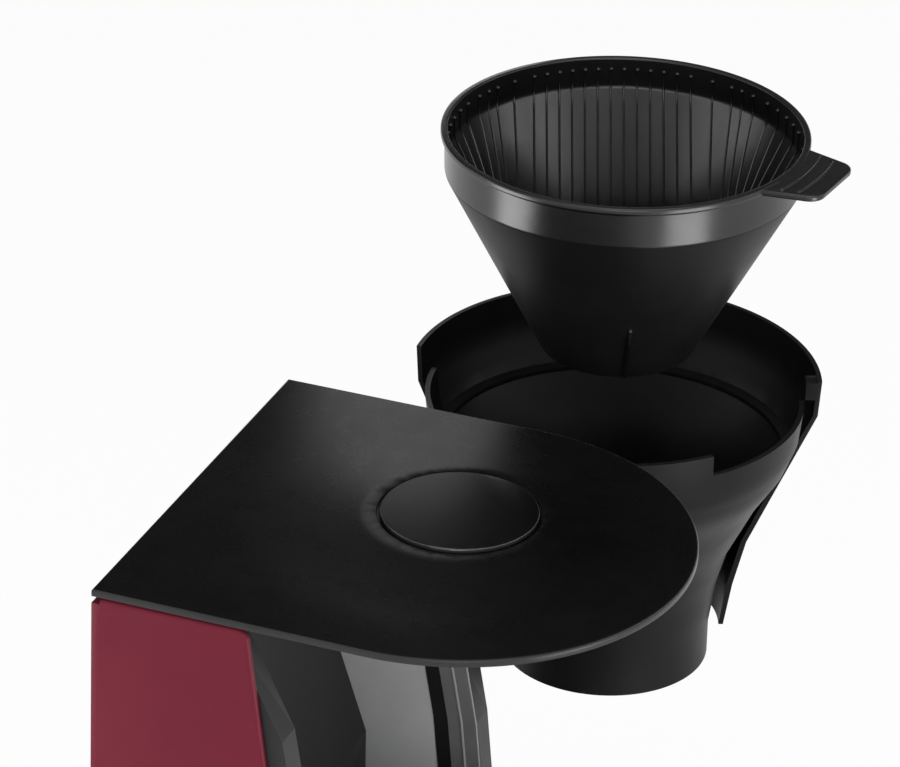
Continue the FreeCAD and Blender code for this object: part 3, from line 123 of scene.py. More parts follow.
class Shop:
    """One node tree and the single way nodes are added to it."""

    MIX_SOCKETS = (0, 6, 7, 2)

    def __init__(self, tree: bpy.types.NodeTree) -> None:
        """Start from an empty tree."""
        self.tree = tree
        tree.nodes.clear()

    def node(self, kind: str, inputs: dict[Any, Any], out: Any = 0, **settings: Any) -> Wire:
        """Add a node.

        Args:
            kind: node type.
            inputs: socket name or index to a value or wire.
            out: name or index of the output that is returned.
            settings: properties that are set first.

        Returns:
            The wire of that output.
        """
        made = self.tree.nodes.new(kind)
        for key, value in settings.items():
            setattr(made, key, value)
        for key, value in inputs.items():
            if isinstance(value, Wire):
                self.tree.links.new(value.socket, made.inputs[key])
            else:
                made.inputs[key].default_value = value
        return Wire(self, made.outputs[out])

    def place(self) -> Wire:
        """Place on the object."""
        return self.node("ShaderNodeTexCoord", {}, "Object")

    def noise(self, place: Wire, scale: float, detail: float, rough: float) -> Wire:
        """Noise of a scale per metre on a place."""
        return self.node("ShaderNodeTexNoise", {
            "Vector": place, "Scale": scale, "Detail": detail, "Roughness": rough}, "Fac")

    def ramp(self, value: Wire, stops: Sequence[Pair]) -> Wire:
        """Value through a ramp.

        Args:
            value: what is looked up.
            stops: place and grey of each stop.

        Returns:
            The wire of the grey.
        """
        made = self.node("ShaderNodeValToRGB", {0: value}, "Color")
        elements = made.socket.node.color_ramp.elements
        while len(elements) < len(stops):
            elements.new(0.5)
        for element, (place, grey) in zip(elements, stops):
            element.position = place
            element.color = (grey, grey, grey, 1.0)
        return made

    def tint(self, mask: Wire, low: Triple, high: Triple) -> Wire:
        """Colour between two by a mask."""
        factor, first, second, result = self.MIX_SOCKETS
        colours = {factor: mask, first: (*low, 1.0), second: (*high, 1.0)}
        return self.node("ShaderNodeMix", colours, result, data_type="RGBA")

    def bump(self, height: Wire, strength: float, distance: float) -> Wire:
        """Normal of a fine relief, whose distance is in metres."""
        return self.node(
            "ShaderNodeBump", {"Strength": strength, "Distance": distance, "Height": height})

    def end(self, kind: str, shader: Wire) -> None:
        """Close the tree with an output node of a kind."""
        self.tree.links.new(shader.socket, self.tree.nodes.new(kind).inputs["Surface"])

    def surface(self, inputs: dict[str, Any]) -> None:
        """Close a material's tree with one Principled surface."""
        self.end("ShaderNodeOutputMaterial", self.node("ShaderNodeBsdfPrincipled", inputs))


def begin(name: str) -> tuple[bpy.types.Material, Shop]:
    """New material and its empty tree."""
    material = bpy.data.materials.new(name)
    material.use_nodes = True
    return material, Shop(material.node_tree)


def linear(colour: Screen) -> Triple:
    """Linear colour of an 8-bit screen colour."""
    shares = (level / 255 for level in colour)
    return tuple(
        share / 12.92 if share <= 0.04045 else ((share + 0.055) / 1.055) ** 2.4 for share in shares)


@dataclass(frozen=True)
class Moulded:
    """Moulded plastic or rubber: eroded grain, faint flow marks and uneven gloss.

    The noises are a scale per metre, a detail and a roughness.
    """

    FLOW = (14.0, 4.0, 0.6)
    SMEAR = (90.0, 5.0, 0.65)
    PITS = (2.0, 0.5)
    FINE = (1.0, 0.5)
    FINE_SCALE = 2.6
    BLEND = (0.55, 0.25, 0.2)
    CONTRAST = ((0.36, 0.0), (0.64, 1.0))
    RELIEF = (0.7, 0.3)
    RELIEF_DEPTH = 0.0004

    name: str
    dark: Screen
    light: Screen
    gloss: Pair
    specular: float
    grain: float
    grain_size: float

    def make(self) -> bpy.types.Material:
        """Material of this finish."""
        material, shop = begin(self.name)
        place = shop.place()
        flow = shop.noise(place, *self.FLOW)
        smear = shop.noise(place, *self.SMEAR)
        pits = shop.noise(place, self.grain_size, *self.PITS)
        fine = shop.noise(place, self.grain_size * self.FINE_SCALE, *self.FINE)
        broad, middle, small = self.BLEND
        mask = shop.ramp(flow * broad + smear * middle + pits * small, self.CONTRAST)
        deep, shallow = self.RELIEF
        smooth_end, rough_end = self.gloss
        shop.surface({
            "Base Color": shop.tint(mask, linear(self.dark), linear(self.light)),
            "Roughness": smear * (rough_end - smooth_end) + smooth_end,
            "Specular IOR Level": self.specular,
            "Normal": shop.bump(pits * deep + fine * shallow, self.grain, self.RELIEF_DEPTH),
        })
        return material


@dataclass(frozen=True)
class Drawn:
    """Bare metal with fine draw lines along one axis."""

    LINES = (1.0, 4.0, 0.6)
    STAIN = (60.0, 4.0, 0.6)
    BLEND = (0.7, 0.3)
    CONTRAST = ((0.3, 0.0), (0.7, 1.0))
    RELIEF = (0.12, 0.0002)

    name: str
    dark: Screen
    light: Screen
    gloss: Pair
    stretch: Triple = (900.0, 900.0, 30.0)

    def make(self) -> bpy.types.Material:
        """Material of this finish."""
        material, shop = begin(self.name)
        place = shop.place()
        drawn = shop.node("ShaderNodeMapping", {"Vector": place, "Scale": self.stretch})
        grooves = shop.noise(drawn, *self.LINES)
        stain = shop.noise(place, *self.STAIN)
        fine, broad = self.BLEND
        mask = shop.ramp(grooves * fine + stain * broad, self.CONTRAST)
        smooth_end, rough_end = self.gloss
        shop.surface({
            "Base Color": shop.tint(mask, linear(self.dark), linear(self.light)),
            "Metallic": 1.0,
            "Roughness": stain * (rough_end - smooth_end) + smooth_end,
            "Normal": shop.bump(grooves, *self.RELIEF),
        })
        return material


@dataclass(frozen=True)
class Coated:
    """Non-stick coating with pale flecks over a dark ground."""

    FLECKS = (1500.0, 2.0, 0.5)
    FLECK_CUT = ((0.62, 0.0), (0.7, 1.0))
    WEAR = (45.0, 5.0, 0.65)
    WORN_OFF = 0.6
    GLOSS = (0.3, 0.25)
    SPECULAR = 0.4
    GRAIN = (900.0, 3.0, 0.55)
    RELIEF = (0.15, 0.0002)

    name: str
    dark: Screen
    light: Screen

    def make(self) -> bpy.types.Material:
        """Material of this finish."""
        material, shop = begin(self.name)
        place = shop.place()
        fleck = shop.ramp(shop.noise(place, *self.FLECKS), self.FLECK_CUT)
        worn = shop.noise(place, *self.WEAR)
        least, span = self.GLOSS
        mask = fleck * (1 - worn * self.WORN_OFF)
        shop.surface({
            "Base Color": shop.tint(mask, linear(self.dark), linear(self.light)),
            "Roughness": worn * span + least,
            "Specular IOR Level": self.SPECULAR,
            "Normal": shop.bump(shop.noise(place, *self.GRAIN), *self.RELIEF),
        })
        return material


@dataclass(frozen=True)
class Clear:
    """Glass or milky clear plastic, with faint water marks in its gloss."""

    MARKS = (70.0, 4.0, 0.6)
    MARK_SHADE = 0.93
    MARK_ROUGH = 0.06

    name: str
    colour: Screen
    rough: float
    through: float
    index: float

    def make(self) -> bpy.types.Material:
        """Material of this finish."""
        material, shop = begin(self.name)
        mark = shop.noise(shop.place(), *self.MARKS)
        colour = linear(self.colour)
        shade = tuple(self.MARK_SHADE * level for level in colour)
        shop.surface({
            "Base Color": shop.tint(mark, shade, colour),
            "Roughness": mark * self.MARK_ROUGH + self.rough,
            "Transmission Weight": self.through,
            "IOR": self.index,
        })
        return material


class Finish(Enum):
    """Finishes of the machine: screen colours from dark to light, gloss from smooth to rough."""

    LID = Moulded("lid_satin", (10, 10, 11), (18, 18, 19), (0.23, 0.33), 0.08, 0.12, 1500.0)
    DISC = Moulded("disc_satin", (11, 11, 12), (19, 19, 20), (0.25, 0.35), 0.08, 0.12, 1500.0)
    # painted highlight: the lid's edge faces get a lighter grey than the lid, standing in for light
    # along its edges
    EDGE = Moulded("edge_painted_highlight", (34, 34, 35), (42, 42, 43), (0.28, 0.4), 0.3, 0.06, 2600.0)
    # painted highlight: a lighter, glossier grey on the disc's rim faces, standing in for the bright
    # line along its rim
    DISC_EDGE_HIGHLIGHT = Moulded("disc_edge_painted_highlight", (46, 46, 47), (54, 54, 55), (0.18, 0.28), 0.7, 0.03, 2600.0)
    CARRIER = Moulded("carrier_satin", (15, 15, 16), (23, 23, 24), (0.34, 0.48), 0.12, 0.1, 2600.0)
    BASKET = Moulded("basket_gloss", (11, 11, 12), (18, 18, 19), (0.2, 0.3), 0.55, 0.03, 3000.0)
    CONE = Moulded("basket_satin", (15, 15, 16), (22, 22, 23), (0.34, 0.46), 0.1, 0.06, 2800.0)
    TOWER = Moulded("tower_satin", (24, 24, 25), (36, 36, 37), (0.36, 0.52), 0.3, 0.14, 2200.0)
    # painted sheen: a pale grey for faces of the black housing where light falls, not a lining of its
    # own
    PAINTED_SHEEN = Moulded("far_wing_painted_sheen", (156, 156, 157), (170, 170, 171), (0.4, 0.55), 0.35, 0.14, 2200.0)
    # painted sheen: a mid grey for lit strips of the black housing
    STRIP = Moulded("strip_painted_sheen", (98, 98, 99), (112, 112, 113), (0.4, 0.55), 0.3, 0.14, 2200.0)
    GROOVE = Moulded("groove_black", (26, 26, 26), (32, 32, 32), (0.5, 0.65), 0.1, 0.1, 2200.0)
    BASE = Moulded("base_satin", (22, 22, 23), (33, 33, 34), (0.38, 0.55), 0.35, 0.2, 1900.0)
    RED = Moulded("cover_red", (98, 23, 40), (108, 29, 46), (0.34, 0.46), 0.14, 0.04, 2600.0)
    ROCKER = Moulded("rocker_red", (110, 36, 48), (126, 46, 60), (0.22, 0.34), 0.45, 0.03, 2600.0)
    HANDLE = Moulded("handle_black", (18, 18, 19), (29, 29, 30), (0.32, 0.5), 0.35, 0.2, 1900.0)
    RUBBER = Moulded("rubber_black", (20, 20, 20), (32, 32, 31), (0.62, 0.85), 0.25, 0.3, 1400.0)
    MILKY = Clear("tank_milky", (226, 226, 220), 0.38, 0.35, 1.46)
    GLASS = Clear("jug_glass_clear", (243, 247, 246), 0.01, 1.0, 1.47)
    STEEL = Drawn("steel_drawn", (150, 150, 150), (206, 206, 204), (0.2, 0.38))
    SPRING = Drawn("spring_wire", (120, 120, 122), (214, 214, 212), (0.16, 0.3), (60.0, 60.0, 2200.0))
    PLATE = Coated("plate_coating", (30, 30, 31), (96, 96, 95))

    @property
    def material(self) -> bpy.types.Material:
        """This finish's material, made once."""
        return bpy.data.materials.get(self.value.name) or self.value.make()


def smooth(mesh: Mesh, crease: float) -> None:
    """Shade a mesh smooth, except at edges sharper than a crease in degrees."""
    mesh.polygons.foreach_set("use_smooth", [True] * len(mesh.polygons))
    mesh.set_sharp_from_angle(angle=math.radians(crease))


def soften(piece: Piece, width: float, segments: int, crease: float, flat: bool) -> None:
    """Round the edges of a piece.

    Args:
        piece: the piece.
        width: width of the rounding in millimetres.
        segments: faces across the rounding.
        crease: edges sharper than this many degrees are rounded.
        flat: whether the faces beside the edges keep their flat shading.
    """
    bevel = piece.modifiers.new("soft_edges", "BEVEL")
    bevel.width = width * MM
    bevel.segments = segments
    bevel.limit_method = "ANGLE"
    bevel.angle_limit = math.radians(crease)
    bevel.harden_normals = flat


def link(name: str, data: bpy.types.ID) -> Piece:
    """New object of a mesh, lamp or camera, linked to the scene."""
    made = bpy.data.objects.new(name, data)
    bpy.context.scene.collection.objects.link(made)
    return made


def under(node: str) -> Vector:
    """Middle of the underside of a node's box."""
    low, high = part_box(node)
    return Vector(((low.x + high.x) / 2, (low.y + high.y) / 2, low.z))


class Bench:
    """The loaded frame, and the calls that hand pieces to it."""

    MERGE = 2e-6
    SLIVER = 1e-6

    def __init__(self, frame: dict[str, Any]) -> None:
        """Keep the loaded frame, and find each node's slot and body."""
        self.frame = frame
        record = frame["record"]
        self.slots = {row["node"]: row["material_slot"] for row in record["subparts"]}
        self.body = {
            node: body for body, nodes in record["behaviour"]["bodies"].items() for node in nodes}

    def hand_over(self, piece: Piece, like: str, finish: Finish, *stands_for: str) -> None:
        """Give a piece its finish and body, and hide the nodes it stands for.

        Args:
            piece: the finished piece.
            like: node whose body it takes.
            finish: its finish.
            stands_for: nodes that it replaces.
        """
        piece.data.materials.clear()
        piece.data.materials.append(finish.material)
        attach(piece, self.body[like])
        if stands_for:
            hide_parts(*stands_for)
        LOG.info("%s rides on %s, %d faces", piece.name, self.body[like], len(piece.data.polygons))

    def dress(self, finish: Finish, *nodes: str) -> None:
        """Put a finish on nodes that keep their solids."""
        for node in nodes:
            piece = self.frame["nodes"][node]
            piece.data.materials.clear()
            piece.data.materials.append(finish.material)
            LOG.info("%s keeps its solid", node)

    def skin(self, node: str, finish: Finish, edge: float) -> Piece:
        """Smooth copy of a node with softened edges, standing for it.

        Args:
            node: the node.
            finish: its finish.
            edge: width of the softened edges in millimetres, zero for none.

        Returns:
            The piece.
        """
        mesh = self.frame["nodes"][node].data.copy()
        mesh.name = f"{node}_skin"
        work = bmesh.new()
        work.from_mesh(mesh)
        bmesh.ops.remove_doubles(work, verts=work.verts, dist=self.MERGE)
        bmesh.ops.dissolve_degenerate(work, edges=work.edges, dist=self.SLIVER)
        work.to_mesh(mesh)
        work.free()
        smooth(mesh, SKIN_CREASE)
        piece = link(f"{node}_skin", mesh)
        if edge:
            soften(piece, edge, segments=2, crease=SKIN_CREASE, flat=True)
        self.hand_over(piece, node, finish, node)
        return piece

    def second_finish(self, piece: Piece, finish: Finish, wanted: Callable[[Face], bool]) -> None:
        """Put another finish on some faces of a piece.

        Args:
            piece: the piece.
            finish: the finish of those faces.
            wanted: says whether a face gets it.
        """
        piece.data.materials.append(finish.material)
        for face in piece.data.polygons:
            if wanted(face):
                face.material_index = 1


def rounded(corners: Sequence[tuple[float, ...]], steps: int = 5) -> list[Pair]:
    """Closed outline with rounded corners.

    Args:
        corners: (across, up) or (across, up, rounding) in millimetres.
        steps: points on each rounding.

    Returns:
        The points of the outline in metres.
    """
    points: list[Pair] = []
    for index, corner in enumerate(corners):
        here = Vector(corner[:2])
        radius = corner[2] if len(corner) > 2 else 0.0
        before = (Vector(corners[index - 1][:2]) - here).normalized()
        after = (Vector(corners[index + 1 - len(corners)][:2]) - here).normalized()
        if not radius:
            points.append((here.x * MM, here.y * MM))
            continue
        half = before.angle(after) / 2
        start = here + before * (radius / math.tan(half))
        end = here + after * (radius / math.tan(half))
        centre = here + (before + after).normalized() * (radius / math.sin(half))
        for step in range(steps + 1):
            mid = start.lerp(end, step / steps) - centre
            point = centre + mid.normalized() * radius
            points.append((point.x * MM, point.y * MM))
    return points


def sealed(work: bmesh.types.BMesh, name: str) -> Mesh:
    """Mesh of finished work, which is freed."""
    mesh = bpy.data.meshes.new(name)
    work.to_mesh(mesh)
    work.free()
    return mesh


def turned(
        name: str, points: Sequence[Pair], axis: Vector, steps: int, closed: bool = True) -> Mesh:
    """Outline turned about an upright axis.

    Args:
        name: mesh name.
        points: (radius, height) in metres; none on the axis unless both ends are.
        axis: foot of the axis; its height is added.
        steps: sides of the turn.
        closed: whether the last point joins the first.

    Returns:
        The mesh, facing outwards.
    """
    work = bmesh.new()
    sides = []
    for step in range(steps):
        turn = 2 * math.pi * step / steps
        sides.append([
            work.verts.new((axis.x + r * math.cos(turn), axis.y + r * math.sin(turn), axis.z + z))
            for r, z in points])
    count = len(points)
    for here, then in zip(sides, sides[1:] + sides[:1]):
        for index in range(count if closed else count - 1):
            after = (index + 1) % count
            work.faces.new((here[index], then[index], then[after], here[after]))
    bmesh.ops.remove_doubles(work, verts=work.verts, dist=SAME_POINT)
    bmesh.ops.dissolve_degenerate(work, edges=work.edges, dist=SAME_POINT)
    bmesh.ops.recalc_face_normals(work, faces=work.faces)
    mesh = sealed(work, name)
    smooth(mesh, TURN_CREASE)
    return mesh


def slab(name: str, points: Sequence[Vector], lift: Vector) -> Mesh:
    """Solid plate from a flat outline and the vector to its other face.

    Args:
        name: mesh name.
        points: outline of one face.
        lift: from that face to the other.

    Returns:
        The mesh, facing outwards.
    """
    work = bmesh.new()
    low = [work.verts.new(point) for point in points]
    high = [work.verts.new(point + lift) for point in points]
    work.faces.new(low)
    work.faces.new(high[::-1])
    for index in range(len(points)):
        after = (index + 1) % len(points)
        work.faces.new((low[index], low[after], high[after], high[index]))
    bmesh.ops.recalc_face_normals(work, faces=work.faces)
    return sealed(work, name)


def lines(name: str, paths: Sequence[Sequence[Vector]]) -> Mesh:
    """Mesh of open paths, or of lone points.

    Args:
        name: mesh name.
        paths: the points of each path.

    Returns:
        The mesh of vertices and edges.
    """
    points: list[Vector] = []
    edges: list[tuple[int, int]] = []
    for path in paths:
        first = len(points)
        points.extend(path)
        edges.extend((first + step, first + step + 1) for step in range(len(path) - 1))
    mesh = bpy.data.meshes.new(name)
    mesh.from_pydata(points, edges, [])
    return mesh


@dataclass
class Repeats:
    """Geometry Nodes tree for what repeats, turned into a plain mesh piece.

    The piece takes the tree's name, and the body of the node it is like. The sizes are the tree's
    inputs in millimetres.
    """

    RIB_SIDES = 8
    BEAD_STEPS = 2

    bench: Bench
    name: str
    like: str
    finish: Finish
    sizes: Sizes

    def __post_init__(self) -> None:
        """Start the tree with its inputs and its output."""
        tree = bpy.data.node_groups.new(self.name, "GeometryNodeTree")
        self.shop = Shop(tree)
        face = tree.interface
        face.new_socket(name="Paths", in_out="INPUT", socket_type="NodeSocketGeometry")
        self.values = {}
        for key, value in self.sizes:
            socket = face.new_socket(name=key, in_out="INPUT", socket_type="NodeSocketFloat")
            self.values[socket.identifier] = value * MM
        face.new_socket(name="Pieces", in_out="OUTPUT", socket_type="NodeSocketGeometry")
        self.enter = tree.nodes.new("NodeGroupInput")

    def size(self, name: str) -> Wire:
        """Wire of a named input."""
        return Wire(self.shop, self.enter.outputs[name])

    def on_points(self, instance: Wire) -> Wire:
        """One instance on each of the points."""
        points = self.shop.node("GeometryNodeMeshToPoints", {"Mesh": self.size("Paths")})
        return self.shop.node(
            "GeometryNodeInstanceOnPoints", {"Points": points, "Instance": instance})

    def ribs(self) -> Wire:
        """Round ribs along the paths with a bead at the start of each, from Rib and Bead radii."""
        node = self.shop.node
        curve = node("GeometryNodeMeshToCurve", {"Mesh": self.size("Paths")})
        profile = node("GeometryNodeCurvePrimitiveCircle", {
            "Resolution": self.RIB_SIDES, "Radius": self.size("Rib")})
        rib = node("GeometryNodeCurveToMesh", {
            "Curve": curve, "Profile Curve": profile, "Fill Caps": True})
        start = node("GeometryNodeCurveEndpointSelection", {"Start Size": 1, "End Size": 0})
        bead = node("GeometryNodeMeshIcoSphere", {
            "Radius": self.size("Bead"), "Subdivisions": self.BEAD_STEPS})
        beads = node("GeometryNodeInstanceOnPoints", {
            "Points": curve, "Selection": start, "Instance": bead})
        both = node("GeometryNodeJoinGeometry", {0: rib})
        self.shop.tree.links.new(beads.socket, both.socket.node.inputs[0])
        return both

    def blocks(self) -> Wire:
        """Blocks of Length, Depth and Height on the points."""
        spans = self.shop.node("ShaderNodeCombineXYZ", {
            0: self.size("Length"), 1: self.size("Depth"), 2: self.size("Height")})
        return self.on_points(self.shop.node("GeometryNodeMeshCube", {
            "Size": spans, "Vertices X": 2, "Vertices Y": 2, "Vertices Z": 2}))

    def copies(self, pattern: Piece) -> Wire:
        """Copies of a pattern object on the points."""
        source = {"Object": pattern, "As Instance": True}
        return self.on_points(self.shop.node(
            "GeometryNodeObjectInfo", source, "Geometry", transform_space="ORIGINAL"))

    def build(self, paths: Sequence[Sequence[Vector]], made: Wire) -> None:
        """Turn the tree's result into a plain mesh piece and hand it over.

        Args:
            paths: the points of each path that the tree works on.
            made: the geometry it makes.
        """
        real = self.shop.node("GeometryNodeRealizeInstances", {"Geometry": made})
        shaded = self.shop.node("GeometryNodeSetShadeSmooth", {"Geometry": real})
        tree = self.shop.tree
        tree.links.new(shaded.socket, tree.nodes.new("NodeGroupOutput").inputs[0])
        source = lines(f"{self.name}_paths", paths)
        piece = link(self.name, source)
        modifier = piece.modifiers.new("repeats", "NODES")
        modifier.node_group = tree
        for identifier, value in self.values.items():
            modifier[identifier] = value
        bpy.context.view_layer.update()
        ready = piece.evaluated_get(bpy.context.evaluated_depsgraph_get())
        mesh = bpy.data.meshes.new_from_object(ready)
        mesh.name = f"{self.name}_mesh"
        piece.modifiers.clear()
        piece.data = mesh
        bpy.data.meshes.remove(source)
        mesh.set_sharp_from_angle(angle=math.radians(DETAIL_CREASE))
        self.bench.hand_over(piece, self.like, self.finish)


@dataclass
class Basket:
    """Lifted filter basket: turned wall, ribs inside, finger grip and guide fin.

    Sizes are in millimetres, and depths are below the rim. A wall row is a radius, a height and a
    rounding; the last two are the ends of the inner cone. A fan row is a rib's turn from the middle
    of its wall, how far it follows the cone, and the depth of its foot. A ridge row is a radius and
    half the turn it covers. A fin row is a radius and a depth.
    """

    bench: Bench
    centre: Pair = (12.95, 171.64)
    wall: tuple[Triple, ...] = (
        (73.0, 0.0, 0.8), (76.0, 0.0, 0.8), (76.0, -2.4, 0.6), (74.4, -3.4, 0.6),
        (74.1, -18.0, 4.0), (32.1, -98.0, 2.5), (11.0, -98.0, 0.4), (11.0, -96.0, 0.4),
        (31.1, -96.0, 3.0), (73.0, -13.0, 5.0),
    )
    wall_sides: int = 224
    cone_lean: float = 0.2
    rib_pitch: float = 5.53
    rib_axis: float = 114.4
    rib_top: float = 5.2
    rib_sink: float = 0.05
    rib_steps: int = 18
    rib_sizes: Sizes = (("Rib", 0.5), ("Bead", 1.05))
    middle_ribs: int = 6
    long_ribs: int = 5
    rib_ends: Pair = (93.0, 84.0)
    fans: tuple[Triple, ...] = (
        (35.0, 0.15, 50.0), (42.6, 0.4, 74.0), (46.9, 0.5, 78.0), (52.0, 0.6, 72.0), (59.3, 0.8, 66.0),
        (65.3, 0.9, 62.0), (71.5, 1.0, 58.0), (77.5, 1.0, 56.0), (83.5, 1.0, 54.0),
    )
    grip_angle: float = -7.0
    grip_root: float = 75.3
    grip_root_half: float = 23.0
    grip_root_steps: int = 16
    grip_reach: float = 95.0
    grip_half: float = 17.5
    grip_corner: float = 7.0
    grip_corner_steps: int = 10
    grip_drop: float = 0.3
    grip_thickness: float = 2.7
    ridges: tuple[Pair, ...] = ((81.5, 13.5), (87.5, 11.0))
    ridge_depth: float = 0.35
    ridge_steps: int = 16
    ridge_sizes: Sizes = (("Rib", 0.55), ("Bead", 1.0))
    fin: tuple[Pair, ...] = (
        (47.6816, 66.64), (48.7816, 68.14), (46.22285, 75.64), (34.6, 97.0), (31.1, 97.0))
    fin_angle: float = -65.0
    fin_half: float = 0.7
    axis: Vector = field(init=False)

    def __post_init__(self) -> None:
        """Take the rim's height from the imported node."""
        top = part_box("filter_basket")[1].z
        self.axis = Vector((self.centre[0] * MM, self.centre[1] * MM, top))

    def inside(self, depth: float) -> float:
        """Inner radius at a depth below the rim."""
        (low, floor, _), (top, bend, _) = self.wall[-2:]
        return top + max(0.0, (depth + bend) / (bend - floor)) * (low - top)

    def point(self, turn: float, radius: float, depth: float) -> Vector:
        """Place at a turn in degrees, a radius and a depth below the rim."""
        angle = math.radians(turn)
        return self.axis + Vector((radius * math.cos(angle), radius * math.sin(angle), -depth)) * MM

    def build_wall(self) -> None:
        """Turn the wall with its rolled rim, collar, cone and drain, and hand it over."""
        mesh = turned("basket_wall", rounded(self.wall), self.axis, self.wall_sides)
        piece = link("basket_wall", mesh)
        self.bench.hand_over(piece, "filter_basket", Finish.BASKET, "filter_basket")
        below = self.axis.z + self.wall[-1][1] * MM
        self.bench.second_finish(
            piece, Finish.CONE,
            lambda face: face.normal.z < -self.cone_lean and face.center.z < below)

    def rib_path(self, side: int, turn: float, fan: float, end: float) -> list[Vector]:
        """Path of one rib down the wall.

        Args:
            side: 1 on the far wall, -1 on the near wall.
            turn: degrees from the middle of that wall, at the top.
            fan: 0 where the rib keeps its distance from the middle line, 1 where it follows the cone.
            end: depth of its foot.

        Returns:
            Points from the top down.
        """
        path = []
        middle = self.rib_axis if side > 0 else self.rib_axis + 180
        sine = math.sin(math.radians(turn))
        start = self.inside(0.0) * sine
        for step in range(self.rib_steps + 1):
            depth = self.rib_top + (end - self.rib_top) * step / self.rib_steps
            radius = self.inside(depth)
            across = start * (1 - fan) + fan * radius * sine
            angle = math.degrees(math.asin(max(-1.0, min(1.0, across / radius))))
            path.append(self.point(middle - side * angle, radius - self.rib_sink, depth))
        return path

    def build_ribs(self) -> None:
        """Grow the ribs inside: a straight group in the middle of each wall, and fans beside it."""
        paths = []
        long_end, short_end = self.rib_ends
        for side in (1, -1):
            for step in range(-self.middle_ribs, self.middle_ribs + 1):
                turn = math.degrees(math.asin(self.rib_pitch * step / self.inside(0.0)))
                end = long_end if abs(step) < self.long_ribs else short_end
                paths.append(self.rib_path(side, turn, 0.0, end))
            for turn, fan, end in self.fans:
                paths.append(self.rib_path(side, turn, fan, end))
                paths.append(self.rib_path(side, -turn, fan, end))
        tree = Repeats(self.bench, "basket_ribs", "filter_basket", Finish.BASKET, self.rib_sizes)
        tree.build(paths, tree.ribs())

    def build_grip(self) -> None:
        """Shape the finger grip, whose root follows the rim."""
        root = self.grip_root
        span = math.asin(self.grip_root_half / root)
        start = root * math.cos(span)
        edge = rounded([
            (start, -self.grip_root_half), (self.grip_reach, -self.grip_half, self.grip_corner),
            (self.grip_reach, self.grip_half, self.grip_corner), (start, self.grip_root_half),
        ], self.grip_corner_steps)
        for step in range(1, self.grip_root_steps):
            turn = span * (1 - 2 * step / self.grip_root_steps)
            edge.append((root * math.cos(turn) * MM, root * math.sin(turn) * MM))
        spin = Matrix.Rotation(math.radians(self.grip_angle), 3, "Z")
        top = self.axis - Vector((0, 0, self.grip_drop * MM))
        flat = [top + spin @ Vector((along, across, 0)) for along, across in edge]
        mesh = slab("basket_grip", flat, Vector((0, 0, -self.grip_thickness * MM)))
        smooth(mesh, DETAIL_CREASE)
        grip = link("basket_grip", mesh)
        soften(grip, width=0.8, segments=3, crease=DETAIL_CREASE, flat=False)
        self.bench.hand_over(grip, "filter_basket", Finish.BASKET)

    def build_ridges(self) -> None:
        """Grow the ridges across the finger grip."""
        paths = []
        for radius, reach in self.ridges:
            turns = [
                self.grip_angle - reach + 2 * reach * step / self.ridge_steps
                for step in range(self.ridge_steps + 1)]
            paths.append([self.point(turn, radius, self.ridge_depth) for turn in turns])
        tree = Repeats(self.bench, "grip_ridges", "filter_basket", Finish.BASKET, self.ridge_sizes)
        tree.build(paths, tree.ribs())

    def build_fin(self) -> None:
        """Shape the guide fin low on the cone."""
        sideways = self.point(self.fin_angle + 90, self.fin_half, 0.0) - self.axis
        face = [self.point(self.fin_angle, radius, depth) - sideways for radius, depth in self.fin]
        fin = link("basket_fin", slab("basket_fin", face, 2 * sideways))
        soften(fin, width=0.3, segments=2, crease=30.0, flat=False)
        self.bench.hand_over(fin, "filter_basket", Finish.BASKET)

    def build(self) -> None:
        """Build the whole basket."""
        self.build_wall()
        self.build_ribs()
        self.build_grip()
        self.build_ridges()
        self.build_fin()


@dataclass
class Carrier:
    """Swing-out carrier: funnel, outer shell, drip stop and spring. Sizes in millimetres."""

    bench: Bench
    drip_travel: float = 5.0

    def build_spring(self) -> None:
        """Skin the spring and give it a mesh of its own."""
        coil = self.bench.skin("drip_spring", Finish.SPRING, edge=0.0)
        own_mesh(coil)

    def build(self) -> None:
        """Skin the two shells and what is inside."""
        self.bench.skin("carrier_funnel", Finish.CARRIER, edge=0.35)
        self.bench.skin("carrier_shell", Finish.CARRIER, edge=0.35)
        self.bench.skin("drip_stop", Finish.BASE, edge=0.2)
        self.build_spring()


@dataclass
class Lid:
    """Hinged lid with its round disc."""

    bench: Bench
    edge_lean: float = 0.8
    disc_share: float = 0.978

    def build(self) -> None:
        """Skin the lid and disc, with a painted highlight on each one's edge faces and a dark gap
        between them.
        """
        plate = self.bench.skin("lid", Finish.LID, edge=0.2)
        disc = self.bench.skin("lid_disc", Finish.DISC, edge=0.0)
        low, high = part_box("lid_disc")
        middle = ((low + high) / 2).xy
        for point in disc.data.vertices:
            point.co.xy = middle + (point.co.xy - middle) * self.disc_share
        # painted highlight: the edge faces of the lid and the disc get the lighter edge finishes
        for piece, edge in ((plate, Finish.EDGE), (disc, Finish.DISC_EDGE_HIGHLIGHT)):
            self.bench.second_finish(piece, edge, lambda face: abs(face.normal.z) < self.edge_lean)
        self.bench.dress(Finish.STEEL, "lid_pin")


